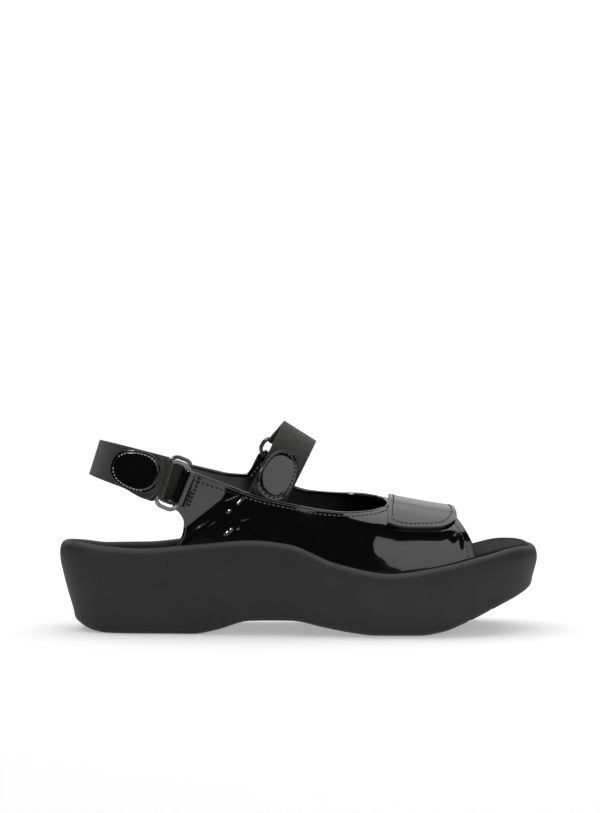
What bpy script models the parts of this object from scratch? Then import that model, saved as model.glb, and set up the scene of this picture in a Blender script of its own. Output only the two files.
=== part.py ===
"""Open-toe sandal for the right foot: moulded sole, footbed, patent upper, straps and strap rings.

+X points to the toe, +Y to the medial (inner) side, +Z up. The sole stands on z = 0 and the
origin is under the middle of the sole's box. Sizes below are millimetres.
"""

import math

import bmesh
import bpy
import numpy as np
from mathutils import Matrix, Vector

MM = 0.001
GAP = 0.3

# Driving dimensions
SOLE_LENGTH = 258.0
HEEL_ROUND = 40.0
HEEL_POWER = 2.25
LATERAL_TOE_ROUND = 86.0
LATERAL_TOE_POWER = 2.3
MEDIAL_TOE_ROUND = 62.0
MEDIAL_TOE_POWER = 2.5
TOE_SWING = 7.0
TOE_SWING_START = 30.0
RIM_WALL = 5.2
WALL_TOP_DROP = 7.0
EDGE_ROUND = 5.0
BED_THICKNESS = 5.5
LEATHER = 1.9
UPPER_TUCK = 4.5
STRAP_LEATHER = 1.8
WEBBING_PAIR = 3.4
WIRE_RADIUS = 1.1
PATCH_THICKNESS = 1.2
SIDE_STATIONS = 36

# Sole sections: half widths before the ends are rounded off, rim heights and taper of the wall
SOLE_COLUMNS = ("x", "lateral", "medial", "rim_lateral", "rim_medial", "taper")
SOLE_SECTIONS = (
    (-129, 33.5, 32.5, 47.6, 47.6, 7.2),
    (-119, 33.8, 32.8, 48.8, 46.4, 6.6),
    (-104, 34.2, 33.2, 47.2, 44.2, 5.0),
    (-84, 34.8, 33.6, 45.9, 44.3, 4.0),
    (-55, 36.4, 34.0, 48.2, 47.4, 3.5),
    (-24, 39.2, 34.6, 50.6, 51.8, 3.5),
    (-6, 41.8, 36.2, 48.8, 50.2, 3.5),
    (20, 46.0, 40.6, 38.9, 40.4, 3.5),
    (48, 49.2, 44.6, 33.9, 33.6, 3.5),
    (72, 50.6, 46.0, 36.9, 36.6, 3.2),
    (98, 51.0, 46.2, 42.4, 42.3, 2.8),
    (118, 51.0, 46.2, 46.0, 45.0, 2.6),
    (129, 51.0, 46.2, 45.4, 45.4, 2.4),
)

# Underside of the sole: heel bevel, heel flat, arch, ball flat and toe spring, with the lift of its
# rolled side edges
TREAD_COLUMNS = ("x", "height", "edge_lift")
TREAD_LINE = (
    (-122, 5.4, 0.5),
    (-115.5, 2.6, 0.5),
    (-109, 0.6, 0.5),
    (-102, 0.0, 0.4),
    (-56, 0.0, 0.4),
    (-44, 2.2, 0.4),
    (-26, 7.2, 0.4),
    (-4, 7.6, 0.4),
    (12, 4.6, 0.9),
    (28, 1.4, 1.5),
    (40, 0.0, 1.8),
    (64, 0.0, 1.8),
    (76, 1.8, 1.6),
    (88, 6.4, 1.2),
    (102, 12.6, 0.8),
    (118, 19.2, 0.4),
    (127, 23.0, 0.2),
)
EDGE_ROLL = 16.0

# Top of the footbed along its middle, and how far its edge turns up beside the foot
BED_COLUMNS = ("x", "height", "cup")
BED_LINE = (
    (-120, 40.4, 1.6),
    (-85, 38.6, 1.8),
    (-58, 39.4, 1.4),
    (-28, 42.4, 1.0),
    (-4, 41.0, 0.8),
    (22, 35.8, 0.4),
    (50, 32.6, 0.2),
    (74, 36.4, 0.0),
    (97, 42.9, -0.2),
    (112, 45.9, -0.4),
    (124, 46.2, -0.8),
)

# Last: ridge over the foot and roundness of the section at each station
LAST_COLUMNS = ("x", "ridge_y", "ridge_z", "power")
LAST_SECTIONS = (
    (-72, 0.0, 150.0, 2.4),
    (-40, 0.5, 126.0, 2.4),
    (-12, 1.0, 108.0, 2.35),
    (12, 1.8, 87.0, 2.4),
    (30, 2.4, 76.4, 2.6),
    (48, 3.0, 69.6, 2.85),
    (66, 3.4, 65.8, 3.0),
    (84, 3.8, 62.8, 3.0),
    (98, 4.2, 60.0, 2.9),
)

# Edges of the upper in side view, from the rear ear forwards
EDGE_COLUMNS = ("x", "z")
LATERAL_COLLAR = (
    (-57.6, 85.8),
    (-41.7, 80.0),
    (-20.6, 72.6),
    (-4.8, 69.2),
    (12.0, 66.1),
    (26.0, 64.9),
    (37.0, 65.5),
    (45.0, 67.2),
)
MEDIAL_COLLAR = (
    (42.0, 71.0),
    (34.0, 71.6),
    (22.0, 71.4),
    (6.0, 72.2),
    (-3.0, 74.4),
)
MEDIAL_EAR_TOP = ((-5.8, 84.0), (-20.8, 93.4))
MEDIAL_REAR_COLLAR = ((-29.4, 82.4), (-38.0, 81.2), (-48.0, 82.6), (-59.8, 84.2))
THROAT_X = 48.4

# Rear edge of each quarter from the top of its ear down to the feather line
REAR_COLUMNS = ("share", "x", "z")
REAR_EDGE = (
    (0.0, -57.6, 85.8),
    (0.4, -66.2, 68.4),
    (0.5, -62.8, 65.4),
    (0.64, -60.2, 60.0),
    (0.8, -60.8, 53.4),
    (0.9, -62.6, 49.4),
    (1.0, -65.0, 43.0),
)
REAR_CORNER_ROW = 1
MEDIAL_EAR_SHIFT = (-2.2, -1.6)
MEDIAL_FEATHER_X = (-1.0, -10.0, -26.0)
FRONT_CORNER_X = 92.6
FRONT_TOP_X = 82.4
FRONT_EDGE_POWER = 2.6
RIB_STEPS = 10
LATERAL_RIBS = 20
VAMP_RIBS = 16
MEDIAL_COLLAR_RIBS = 9
EAR_SIDE_RIBS = 3
EAR_TOP_RIBS = 3
MEDIAL_REAR_RIBS = 8
REAR_BLEND_RIBS = 7

# Forefoot strap on the upper: lateral free end with rounded corners, medial end at the rim
VAMP_STRAP_BACK = 49.0
VAMP_STRAP_FRONT = 83.6
VAMP_STRAP_BACK_LEAN = -2.6
VAMP_STRAP_END_Z = 56.0
VAMP_STRAP_CORNER_LIFT = {"back": 2.0, "front": 4.2}
VAMP_STRAP_CORNER_POWER = 4.0
VAMP_STRAP_ALONG = 10
VAMP_STRAP_AROUND = 22

# Heel strap: a band in a plane that drops towards the toe
HEEL_STRAP_DROP = math.radians(17.4)
HEEL_STRAP_ROLL = math.radians(-2.4)
HEEL_STRAP_YAW = math.radians(2.6)
HEEL_BAR = (-72.9, 81.0)
HEEL_BAR_Y = {"lateral": -29.4, "medial": 27.6}
HEEL_STRAP_REACH = 37.7
HEEL_STRAP_STRAIGHT = 7.0
HEEL_STRAP_POWER = 2.1
HEEL_WIDTH_BACK = 19.4
HEEL_WIDTH_BAR = 23.0
HEEL_STRAP_STATIONS = 40

# Strap rings: rounded wire loops with two straight bars
HEEL_RING_LEAN = math.radians(22.0)
HEEL_RING_RAISE = {"lateral": -1.0, "medial": 0.8}
BAR_SPACING = 11.6
HEEL_RING_LENGTH = 25.2
INSTEP_RING_LENGTH = 22.6
RING_CORNER = 4.0
RING_CORNER_STEPS = 6

# Instep strap: a band round an axis that drops towards the toe
INSTEP_DROP = math.radians(32.3)
INSTEP_TOP = (-0.9, 104.7)
INSTEP_HALF_WIDTH = 28.5
INSTEP_RISE = 30.6
INSTEP_Y = 0.3
INSTEP_WIDTH = 19.8
INSTEP_LEAN = {"lateral": 0.09, "medial": -0.14}
INSTEP_UPPER_BAR = 10.2
INSTEP_LOWER_BAR = 20.0
INSTEP_TUCK = 52.0
INSTEP_SINGLE_FROM = 39.0
INSTEP_LEG_SPLAY = 0.07
INSTEP_STATIONS = 34

# Pull patches: egg-shaped ovals on the free ends of the two webbing straps
HEEL_PATCH_CENTRE = 15.3
HEEL_PATCH_HALF = (13.0, 10.2)
HEEL_PATCH_EGG = -0.12
INSTEP_PATCH_CENTRE = 22.6
INSTEP_PATCH_HALF = (12.4, 8.4)
INSTEP_PATCH_EGG = 0.1
PATCH_RINGS = 4
PATCH_POINTS = 24

# Tread bars: arched grooves across heel and forefoot
GROOVE_DEPTH = 1.8
GROOVE_WIDTH = 3.2
GROOVE_BOW = 9.0
GROOVE_HALF_SPAN = 62.0
GROOVE_STEPS = 8
HEEL_GROOVES = (-96.0, -84.0, -72.0)
BALL_GROOVES = (38.0, 50.0, 62.0, 74.0, 86.0, 97.6, 109.2)


def column(rows, columns, name):
    """One named column of a table as an array."""
    return np.array([row[columns.index(name)] for row in rows], float)


def smooth_line(xs, ys):
    """A monotone cubic through the points (xs, ys): flats stay flat and peaks stay where they are."""
    order = np.argsort(xs)
    xs, ys = np.asarray(xs, float)[order], np.asarray(ys, float)[order]
    step, rise = np.diff(xs), np.diff(ys)
    slope = rise / step
    tangent = np.concatenate([[slope[0]], np.zeros(len(xs) - 2), [slope[-1]]])
    for i in range(1, len(xs) - 1):
        if slope[i - 1] * slope[i] > 0:
            before = 2 * step[i] + step[i - 1]
            after = step[i] + 2 * step[i - 1]
            tangent[i] = (before + after) / (before / slope[i - 1] + after / slope[i])

    def value(x):
        x = float(min(max(x, xs[0]), xs[-1]))
        i = int(min(max(np.searchsorted(xs, x) - 1, 0), len(step) - 1))
        t = (x - xs[i]) / step[i]
        start = ys[i] * (1 + 2 * t) * (1 - t) ** 2 + ys[i + 1] * t * t * (3 - 2 * t)
        return start + step[i] * t * (1 - t) * (tangent[i] * (1 - t) - tangent[i + 1] * t)

    return value


def table_line(rows, columns, name, key="x"):
    return smooth_line(column(rows, columns, key), column(rows, columns, name))


def mix(a, b, share):
    return a + (b - a) * share


half_width = {side: table_line(SOLE_SECTIONS, SOLE_COLUMNS, side) for side in ("lateral", "medial")}
rim_height = {
    side: table_line(SOLE_SECTIONS, SOLE_COLUMNS, "rim_" + side) for side in ("lateral", "medial")
}
wall_taper = table_line(SOLE_SECTIONS, SOLE_COLUMNS, "taper")
tread_height = table_line(TREAD_LINE, TREAD_COLUMNS, "height")
edge_lift = table_line(TREAD_LINE, TREAD_COLUMNS, "edge_lift")
bed_height = table_line(BED_LINE, BED_COLUMNS, "height")
bed_cup = table_line(BED_LINE, BED_COLUMNS, "cup")
ridge_y = table_line(LAST_SECTIONS, LAST_COLUMNS, "ridge_y")
ridge_z = table_line(LAST_SECTIONS, LAST_COLUMNS, "ridge_z")
last_power = table_line(LAST_SECTIONS, LAST_COLUMNS, "power")


# Outline of the sole


def end_round(distance, radius, power):
    """Share of the half width left at a distance from an end that is rounded over the radius."""
    if distance >= radius:
        return 1.0
    return (1 - (1 - max(distance, 0.0) / radius) ** power) ** (1 / power)


def outline_y(x, side):
    """Edge of the sole's rim at x: negative on the lateral side, positive on the medial side."""
    half = SOLE_LENGTH / 2
    toe_round, toe_power = {
        "lateral": (LATERAL_TOE_ROUND, LATERAL_TOE_POWER),
        "medial": (MEDIAL_TOE_ROUND, MEDIAL_TOE_POWER),
    }[side]
    width = half_width[side](x)
    width *= end_round(x + half, HEEL_ROUND, HEEL_POWER)
    width *= end_round(half - x, toe_round, toe_power)
    swing = max(0.0, (x - TOE_SWING_START) / (half - TOE_SWING_START))
    middle = TOE_SWING * swing**2
    return middle + (width if side == "medial" else -width)


def outline_loop():
    """Points (x, y) of the rim, from the heel along the lateral side to the toe and back."""
    half = SOLE_LENGTH / 2
    turns = [math.pi * i / SIDE_STATIONS for i in range(SIDE_STATIONS + 1)]
    xs = [-half * math.cos(turn) for turn in turns]
    lateral = [(x, outline_y(x, "lateral"), "lateral") for x in xs]
    medial = [(x, outline_y(x, "medial"), "medial") for x in xs[-2:0:-1]]
    return lateral + medial


def outline_normals(loop):
    points = np.array([(x, y) for x, y, _ in loop])
    along = np.roll(points, -1, axis=0) - np.roll(points, 1, axis=0)
    normals = np.stack([along[:, 1], -along[:, 0]], axis=1)
    return normals / np.linalg.norm(normals, axis=1)[:, None]


OUTLINE = outline_loop()
NORMALS = outline_normals(OUTLINE)


def inset_ring(inset, height):
    """A ring of points: the outline moved inwards by inset(x), at height(x, side)."""
    ring = []
    for (x, y, side), normal in zip(OUTLINE, NORMALS):
        px, py = np.array((x, y)) - normal * inset(x)
        ring.append((px, py, height(px, side)))
    return ring


def inset_edge(side, inset):
    """Y of the outline moved inwards, as a function of x."""
    ring = [
        (p, mark) for p, (_, _, mark) in zip(inset_ring(lambda x: inset, lambda x, s: 0.0), OUTLINE)
    ]
    points = sorted((p[0], p[1]) for p, mark in ring if mark == side)
    xs, ys = np.array(points).T
    return lambda x: float(np.interp(x, xs, ys))


# The last, which shapes the upper

UPPER_EDGE = {side: inset_edge(side, RIM_WALL + GAP) for side in ("lateral", "medial")}


def feather_height(x, side):
    return rim_height[side](x) - UPPER_TUCK


def last_surface(x, turn):
    """Point on the last: turn runs from 0 at the lateral feather line over the ridge to pi."""
    side = "lateral" if turn <= math.pi / 2 else "medial"
    base, middle = UPPER_EDGE[side](x), ridge_y(x)
    share = 2 / last_power(x)
    across = abs(math.cos(turn)) ** share
    up = max(math.sin(turn), 0.0) ** share
    bottom = feather_height(x, side)
    return Vector((x, mix(middle, base, across), mix(bottom, ridge_z(x), up)))


def last_point(x, turn, offset=0.0):
    """Point on the last moved outwards along its normal."""
    near = 1e-3
    turn = min(max(turn, near), math.pi - near)
    along = last_surface(x + near, turn) - last_surface(x - near, turn)
    around = last_surface(x, turn + near) - last_surface(x, turn - near)
    normal = along.cross(around).normalized()
    return last_surface(x, turn) + normal * offset


def turn_at(x, z, side):
    """The turn at which the last reaches height z."""
    bottom = feather_height(x, side)
    share = min(max((z - bottom) / (ridge_z(x) - bottom), 0.0), 1.0)
    turn = math.asin(share ** (last_power(x) / 2))
    return turn if side == "lateral" else math.pi - turn


# Mesh building


def make_material(name, colour, roughness, metallic=0.0, coat=0.0):
    material = bpy.data.materials.new(name)
    material.use_nodes = True
    shader = material.node_tree.nodes["Principled BSDF"]
    shader.inputs["Base Color"].default_value = (*colour, 1.0)
    shader.inputs["Roughness"].default_value = roughness
    shader.inputs["Metallic"].default_value = metallic
    shader.inputs["Coat Weight"].default_value = coat
    return material


def add_object(name, mesh, material, collection):
    mesh.shade_smooth()
    mesh.set_sharp_from_angle(angle=math.radians(35))
    if material:
        mesh.materials.append(material)
    obj = bpy.data.objects.new(name, mesh)
    collection.objects.link(obj)
    return obj


def mesh_from_grid(name, rows, close_rows, cap):
    """A quad mesh through rows of points. close_rows joins the last point of a row to its first,
    and cap closes the first and last rows with a ladder of faces."""
    bm = bmesh.new()
    grid = [[bm.verts.new(Vector(p) * MM) for p in row] for row in rows]
    count = len(grid[0])
    for low, high in zip(grid, grid[1:]):
        for i in range(count if close_rows else count - 1):
            j = (i + 1) % count
            bm.faces.new((low[i], low[j], high[j], high[i]))
    if cap:
        for row in (grid[0], grid[-1]):
            for i in range(count // 2):
                ladder = (row[i], row[i + 1], row[-i - 1], row[-i % count])
                bm.faces.new(list(dict.fromkeys(ladder)))
    bmesh.ops.recalc_face_normals(bm, faces=bm.faces)
    mesh = bpy.data.meshes.new(name)
    bm.to_mesh(mesh)
    bm.free()
    return mesh


def mesh_from_sheet(name, outer, inner):
    """A closed wall between two matching grids of points."""
    rows = [list(front) + list(back)[::-1] for front, back in zip(outer, inner)]
    return mesh_from_grid(name, rows, close_rows=True, cap=True)


def mesh_copy_of(obj, collection):
    """The evaluated shape of an object as a plain mesh object."""
    bpy.context.view_layer.update()
    graph = bpy.context.evaluated_depsgraph_get()
    mesh = bpy.data.meshes.new_from_object(obj.evaluated_get(graph))
    copy = bpy.data.objects.new(obj.name, mesh)
    copy.matrix_world = obj.matrix_world
    collection.objects.link(copy)
    bpy.data.objects.remove(obj)
    return copy


def hide_cutter(obj):
    obj.hide_render = True
    obj.display_type = "WIRE"
    return obj


def join_or_cut(obj, other, operation):
    modifier = obj.modifiers.new(other.name, "BOOLEAN")
    modifier.operation = operation
    modifier.object = other


# Sole and footbed


def tray_floor(x, side):
    return bed_height(x) - BED_THICKNESS - GAP


def sole_rings():
    def edge(x, side):
        return tread_height(x) + edge_lift(x)

    def low(x, side):
        return edge(x, side) + EDGE_ROUND

    def high(x, side):
        return rim_height[side](x) - WALL_TOP_DROP

    rings = [
        inset_ring(lambda x: wall_taper(x) + EDGE_ROLL, lambda x, side: tread_height(x)),
        inset_ring(lambda x: wall_taper(x) + 4.6, edge),
        inset_ring(lambda x: wall_taper(x) + 1.4, lambda x, side: edge(x, side) + 1.5),
    ]
    for share in (0.0, 0.33, 0.66, 1.0):
        rings.append(
            inset_ring(
                lambda x, share=share: wall_taper(x) * (1 - share) ** 1.3,
                lambda x, side, share=share: mix(low(x, side), high(x, side), share),
            )
        )
    rim_profile = ((0.35, 2.8), (1.4, 0.7), (2.7, 0.0), (4.0, 0.6), (5.0, 2.2))
    for inset, drop in rim_profile:
        rings.append(
            inset_ring(
                lambda x, inset=inset: inset,
                lambda x, side, drop=drop: rim_height[side](x) - drop,
            )
        )
    rings.append(inset_ring(lambda x: RIM_WALL, tray_floor))
    return rings


def groove_cutter(name, x, collection):
    """An arched bar across the sole, sunk into the tread by the groove's depth."""
    rows = []
    for i in range(GROOVE_STEPS + 1):
        share = 2 * i / GROOVE_STEPS - 1
        middle = x - GROOVE_BOW * share**2
        top = tread_height(x) + GROOVE_DEPTH
        bottom = tread_height(x) - 2 * GROOVE_DEPTH - GROOVE_BOW
        corners = ((-0.5, bottom), (0.5, bottom), (0.32, top), (-0.32, top))
        rows.append(
            [(middle + side * GROOVE_WIDTH, share * GROOVE_HALF_SPAN, z) for side, z in corners]
        )
    mesh = mesh_from_grid(name, rows, close_rows=True, cap=True)
    return hide_cutter(add_object(name, mesh, None, collection))


def build_sole(material, parts, cutters):
    mesh = mesh_from_grid("sole", sole_rings(), close_rows=True, cap=True)
    sole = add_object("sole", mesh, material, parts)
    for i, x in enumerate(HEEL_GROOVES + BALL_GROOVES):
        join_or_cut(sole, groove_cutter(f"tread_groove_{i}", x, cutters), "DIFFERENCE")


def bed_inset(x):
    """Room left round the footbed: the upper's wall stands between bed and rim along the quarters."""
    beside_upper = RIM_WALL + GAP + LEATHER + 3 * GAP
    at_ends = RIM_WALL + 2 * GAP
    margin, ease = 6.0, 10.0
    rear, front = REAR_EDGE[-1][1] - margin, FRONT_CORNER_X + margin
    inside = min(x - rear, front - x)
    share = min(max(inside / ease + 1.0, 0.0), 1.0)
    return mix(at_ends, beside_upper, share)


def footbed_rings():
    def bottom(x, side):
        return tray_floor(x, side) + GAP

    rings = [
        inset_ring(lambda x: bed_inset(x) + 0.6, bottom),
        inset_ring(bed_inset, lambda x, side: bottom(x, side) + 0.8),
    ]
    top_profile = ((0.0, -1.6, 1.0), (0.5, -0.5, 1.0), (1.7, 0.0, 1.0), (9.0, 0.0, 0.45), (18.0, 0.0, 0.0))
    for inset, lift, cup in top_profile:
        rings.append(
            inset_ring(
                lambda x, inset=inset: bed_inset(x) + inset,
                lambda x, side, lift=lift, cup=cup: bed_height(x) + lift + cup * bed_cup(x),
            )
        )
    return rings


def build_footbed(material, parts):
    mesh = mesh_from_grid("footbed", footbed_rings(), close_rows=True, cap=True)
    add_object("footbed", mesh, material, parts)


# Upper


def along_edge(points, count):
    """Evenly spaced points along a smooth line through hand-placed (x, z) points."""
    points = np.array(points, float)
    lengths = np.concatenate([[0], np.cumsum(np.linalg.norm(np.diff(points, axis=0), axis=1))])
    x_line, z_line = (smooth_line(lengths, points[:, axis]) for axis in (0, 1))
    places = np.linspace(0, lengths[-1], count + 1)
    return [(x_line(place), z_line(place)) for place in places]


def on_last(points, side):
    return [(x, turn_at(x, z, side)) for x, z in points]


def straight(start, end, count):
    return [tuple(mix(np.array(start), np.array(end), i / count)) for i in range(count + 1)]


def collar_line():
    """The upper's top edge as (x, turn): lateral collar, throat, medial collar, ear and rear collar."""
    lateral = on_last(along_edge(LATERAL_COLLAR, LATERAL_RIBS), "lateral")
    medial = on_last(along_edge(MEDIAL_COLLAR, MEDIAL_COLLAR_RIBS), "medial")
    start, end = lateral[-1][1], medial[0][1]
    throat = []
    for i in range(1, VAMP_RIBS):
        share = i / VAMP_RIBS
        edge = mix(lateral[-1][0], medial[0][0], share)
        bulge = math.sin(math.pi * share) ** 0.5
        throat.append((mix(edge, THROAT_X, bulge), mix(start, end, share)))
    front_top, rear_top = MEDIAL_EAR_TOP
    rear = on_last(along_edge((rear_top, *MEDIAL_REAR_COLLAR), MEDIAL_REAR_RIBS), "medial")
    ear_front = on_last(straight(MEDIAL_COLLAR[-1], front_top, EAR_SIDE_RIBS), "medial")
    ear_top = on_last(straight(front_top, rear_top, EAR_TOP_RIBS), "medial")
    return lateral + throat + medial + ear_front[1:] + ear_top[1:] + rear[1:]


def front_edge(turn, corner_x):
    """X of the toe opening: the edge runs back as it climbs over the foot."""
    climb = math.sin(turn) ** (2 / last_power(corner_x))
    return mix(corner_x, FRONT_TOP_X, climb**FRONT_EDGE_POWER)


def feather_line():
    """The upper's lower and front edges as (x, turn), matching the collar point for point."""
    rear_x = REAR_EDGE[-1][1]
    lateral = [(mix(rear_x, FRONT_CORNER_X, (i / LATERAL_RIBS) ** 0.9), 0.0) for i in range(LATERAL_RIBS + 1)]
    front = []
    for i in range(1, VAMP_RIBS):
        turn = math.pi * i / VAMP_RIBS
        front.append((front_edge(turn, FRONT_CORNER_X), turn))
    counts = (0, MEDIAL_COLLAR_RIBS, EAR_SIDE_RIBS, EAR_TOP_RIBS, MEDIAL_REAR_RIBS)
    knots = np.cumsum(counts)
    knot_x = (FRONT_CORNER_X, *MEDIAL_FEATHER_X, rear_x)
    medial = [(float(np.interp(i, knots, knot_x)), math.pi) for i in range(knots[-1] + 1)]
    return lateral + front + medial


def rear_rib(side):
    """The rear edge of a quarter as (x, turn), from ear to feather line, with its corner kept."""
    shares = column(REAR_EDGE, REAR_COLUMNS, "share")
    xs, zs = column(REAR_EDGE, REAR_COLUMNS, "x"), column(REAR_EDGE, REAR_COLUMNS, "z")
    if side == "medial":
        xs = xs + MEDIAL_EAR_SHIFT[0] * (1 - shares)
        zs = zs + MEDIAL_EAR_SHIFT[1] * (1 - shares)
    below = slice(REAR_CORNER_ROW, None)
    x_line, z_line = (smooth_line(shares[below], values[below]) for values in (xs, zs))
    rib = []
    for j in range(RIB_STEPS + 1):
        share = j / RIB_STEPS
        if share <= shares[REAR_CORNER_ROW]:
            x, z = np.interp(share, shares, xs), np.interp(share, shares, zs)
        else:
            x, z = x_line(share), z_line(share)
        rib.append((x, turn_at(x, z, side)))
    rib[-1] = (xs[-1], 0.0 if side == "lateral" else math.pi)
    return np.array(rib)


def upper_ribs():
    """Grid of (x, turn) over the whole upper: one rib for each collar point."""
    collar, feather = np.array(collar_line()), np.array(feather_line())
    shares = np.linspace(0, 1, RIB_STEPS + 1)[:, None]
    ribs = [mix(top, bottom, shares) for top, bottom in zip(collar, feather)]
    for side, order in (("lateral", range(len(ribs))), ("medial", range(len(ribs) - 1, -1, -1))):
        end = ribs[order[0]]
        bend = rear_rib(side) - end
        for step, i in enumerate(order[:REAR_BLEND_RIBS]):
            ribs[i] = ribs[i] + bend * (1 - step / REAR_BLEND_RIBS) ** 2
    return ribs


def layer(ribs, offset):
    return [[last_point(x, turn, offset) for x, turn in rib] for rib in ribs]


def build_upper(material, parts):
    ribs = upper_ribs()
    mesh = mesh_from_sheet("upper", layer(ribs, 0.0), layer(ribs, -LEATHER))
    return add_object("upper", mesh, material, parts)


def build_vamp_strap(material, parts):
    """The forefoot strap, an overlay between two offsets of the last."""
    ribs = []
    for i in range(VAMP_STRAP_ALONG + 1):
        along = i / VAMP_STRAP_ALONG
        x = mix(VAMP_STRAP_BACK, VAMP_STRAP_FRONT, along)
        corner = abs(2 * along - 1) ** VAMP_STRAP_CORNER_POWER
        lift = VAMP_STRAP_CORNER_LIFT["back" if along < 0.5 else "front"]
        start = turn_at(x, VAMP_STRAP_END_Z + lift * corner, "lateral")
        end = turn_at(x, rim_height["medial"](x) + 3 * GAP, "medial")
        lean = VAMP_STRAP_BACK_LEAN * (1 - along)
        rib = []
        for j in range(VAMP_STRAP_AROUND + 1):
            around = j / VAMP_STRAP_AROUND
            rib.append((x + lean * (1 - around) ** 2, mix(start, end, around)))
        ribs.append(rib)
    inside = layer(ribs, GAP)
    outside = layer(ribs, GAP + STRAP_LEATHER)
    add_object("vamp_strap", mesh_from_sheet("vamp_strap", outside, inside), material, parts)


# Bands, rings and loops


class BandPlane:
    """A tilted frame for a band: e runs along the foot, y across it and w along the band's width."""

    def __init__(self, origin, along, width, across=(0.0, 1.0, 0.0)):
        self.origin = Vector((origin[0], 0.0, origin[1]))
        self.along = Vector((along[0], 0.0, along[1]))
        self.width = Vector((width[0], 0.0, width[1]))
        self.across = Vector(across)

    def point(self, e, y, w=0.0):
        return self.origin + self.along * e + self.across * y + self.width * w


HEEL_PLANE = BandPlane(
    HEEL_BAR,
    (math.cos(HEEL_STRAP_DROP), -math.sin(HEEL_STRAP_DROP)),
    (math.sin(HEEL_STRAP_DROP), math.cos(HEEL_STRAP_DROP)),
    (-math.sin(HEEL_STRAP_YAW), 1.0, math.sin(HEEL_STRAP_ROLL)),
)
INSTEP_PLANE = BandPlane(
    INSTEP_TOP,
    (math.sin(INSTEP_DROP), math.cos(INSTEP_DROP)),
    (math.cos(INSTEP_DROP), -math.sin(INSTEP_DROP)),
)


def heel_path(share):
    """Middle of the heel band at a share of its way from lateral to medial bar, as (e, y, w)."""
    power = 2 / HEEL_STRAP_POWER
    reach = HEEL_STRAP_REACH - HEEL_STRAP_STRAIGHT
    lead = HEEL_STRAP_STRAIGHT / (HEEL_STRAP_REACH * 2)
    lateral, medial = HEEL_BAR_Y["lateral"], HEEL_BAR_Y["medial"]
    if share < lead:
        return (-HEEL_STRAP_STRAIGHT * share / lead, lateral, 0.0)
    if share > 1 - lead:
        return (-HEEL_STRAP_STRAIGHT * (1 - share) / lead, medial, 0.0)
    turn = math.pi * (share - lead) / (1 - 2 * lead)
    back = math.sin(turn) ** power
    across = math.copysign(abs(math.cos(turn)) ** power, math.cos(turn))
    return (-HEEL_STRAP_STRAIGHT - reach * back, mix(medial, lateral, (across + 1) / 2), 0.0)


def heel_width(e):
    return mix(HEEL_WIDTH_BAR, HEEL_WIDTH_BACK, min(-e / HEEL_STRAP_REACH, 1.0))


def instep_path(drop, side):
    """Middle of the instep band at a drop below its top: (e, y, w) on the lateral or medial leg."""
    inside = min(drop / INSTEP_RISE, 1.0)
    reach = INSTEP_HALF_WIDTH * math.sqrt(1 - (1 - inside) ** 2)
    reach += max(drop - INSTEP_RISE, 0.0) * INSTEP_LEG_SPLAY
    return (-drop, INSTEP_Y + (-reach if side == "lateral" else reach), drop * INSTEP_LEAN[side])


def band_rows(plane, path, thickness, widths):
    """Rectangular sections of a band along a path of (e, y, w) points, thick in the path's plane.

    thickness gives (outwards, inwards) at each point, and outwards is away from the foot.
    """
    points = np.array(path)
    along = np.gradient(points, axis=0)
    inside = points[:, :2].mean(axis=0)
    rows = []
    for (e, y, middle), (de, dy, _), (out, inn), width in zip(points, along, thickness, widths):
        normal = np.array((-dy, de)) / math.hypot(de, dy)
        if normal @ (np.array((e, y)) - inside) < 0:
            normal = -normal
        corners = ((out, -0.5), (out, 0.5), (-inn, 0.5), (-inn, -0.5))
        rows.append(
            [plane.point(e + normal[0] * t, y + normal[1] * t, middle + w * width) for t, w in corners]
        )
    return rows


def bead(name, centre, direction, radius, length, collection):
    """A round loop end, as where leather or webbing folds round a bar."""
    bm = bmesh.new()
    turn = Vector((0, 0, 1)).rotation_difference(direction.normalized()).to_matrix().to_4x4()
    bmesh.ops.create_cone(
        bm,
        cap_ends=True,
        segments=16,
        radius1=radius * MM,
        radius2=radius * MM,
        depth=length * MM,
        matrix=Matrix.Translation(centre * MM) @ turn,
    )
    mesh = bpy.data.meshes.new(name)
    bm.to_mesh(mesh)
    bm.free()
    return hide_cutter(add_object(name, mesh, None, collection))


def ring_points(centre, bar, cross, length, spacing):
    """Middle line of a ring: two bars along bar, spacing apart along cross, with round corners."""
    points = []
    half_bar, half_cross = length / 2 - RING_CORNER, spacing / 2 - RING_CORNER
    for quarter, (across, along) in enumerate(((1, 1), (-1, 1), (-1, -1), (1, -1))):
        for i in range(RING_CORNER_STEPS + 1):
            turn = math.pi / 2 * (quarter + i / RING_CORNER_STEPS)
            c = across * half_cross + RING_CORNER * math.cos(turn)
            b = along * half_bar + RING_CORNER * math.sin(turn)
            points.append(centre + cross * c + bar * b)
    return points


def ring_curve(name, points, radius, collection):
    curve = bpy.data.curves.new(name, "CURVE")
    curve.dimensions = "3D"
    curve.bevel_depth = radius * MM
    curve.bevel_resolution = 2
    spline = curve.splines.new("POLY")
    spline.points.add(len(points) - 1)
    for slot, point in zip(spline.points, points):
        slot.co = (*(point * MM), 1.0)
    spline.use_cyclic_u = True
    obj = bpy.data.objects.new(name, curve)
    collection.objects.link(obj)
    return obj


def build_ring(name, points, material, parts, cutters):
    """A strap ring, and the slightly fatter ring that clears its way through leather and webbing."""
    ring = ring_curve(name, points, WIRE_RADIUS, parts)
    ring.data.materials.append(material)
    clearance = ring_curve(name + "_clearance", points, WIRE_RADIUS + GAP, cutters)
    return hide_cutter(mesh_copy_of(clearance, cutters))


LOOP_RADIUS = WIRE_RADIUS + GAP + 1.5


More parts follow.
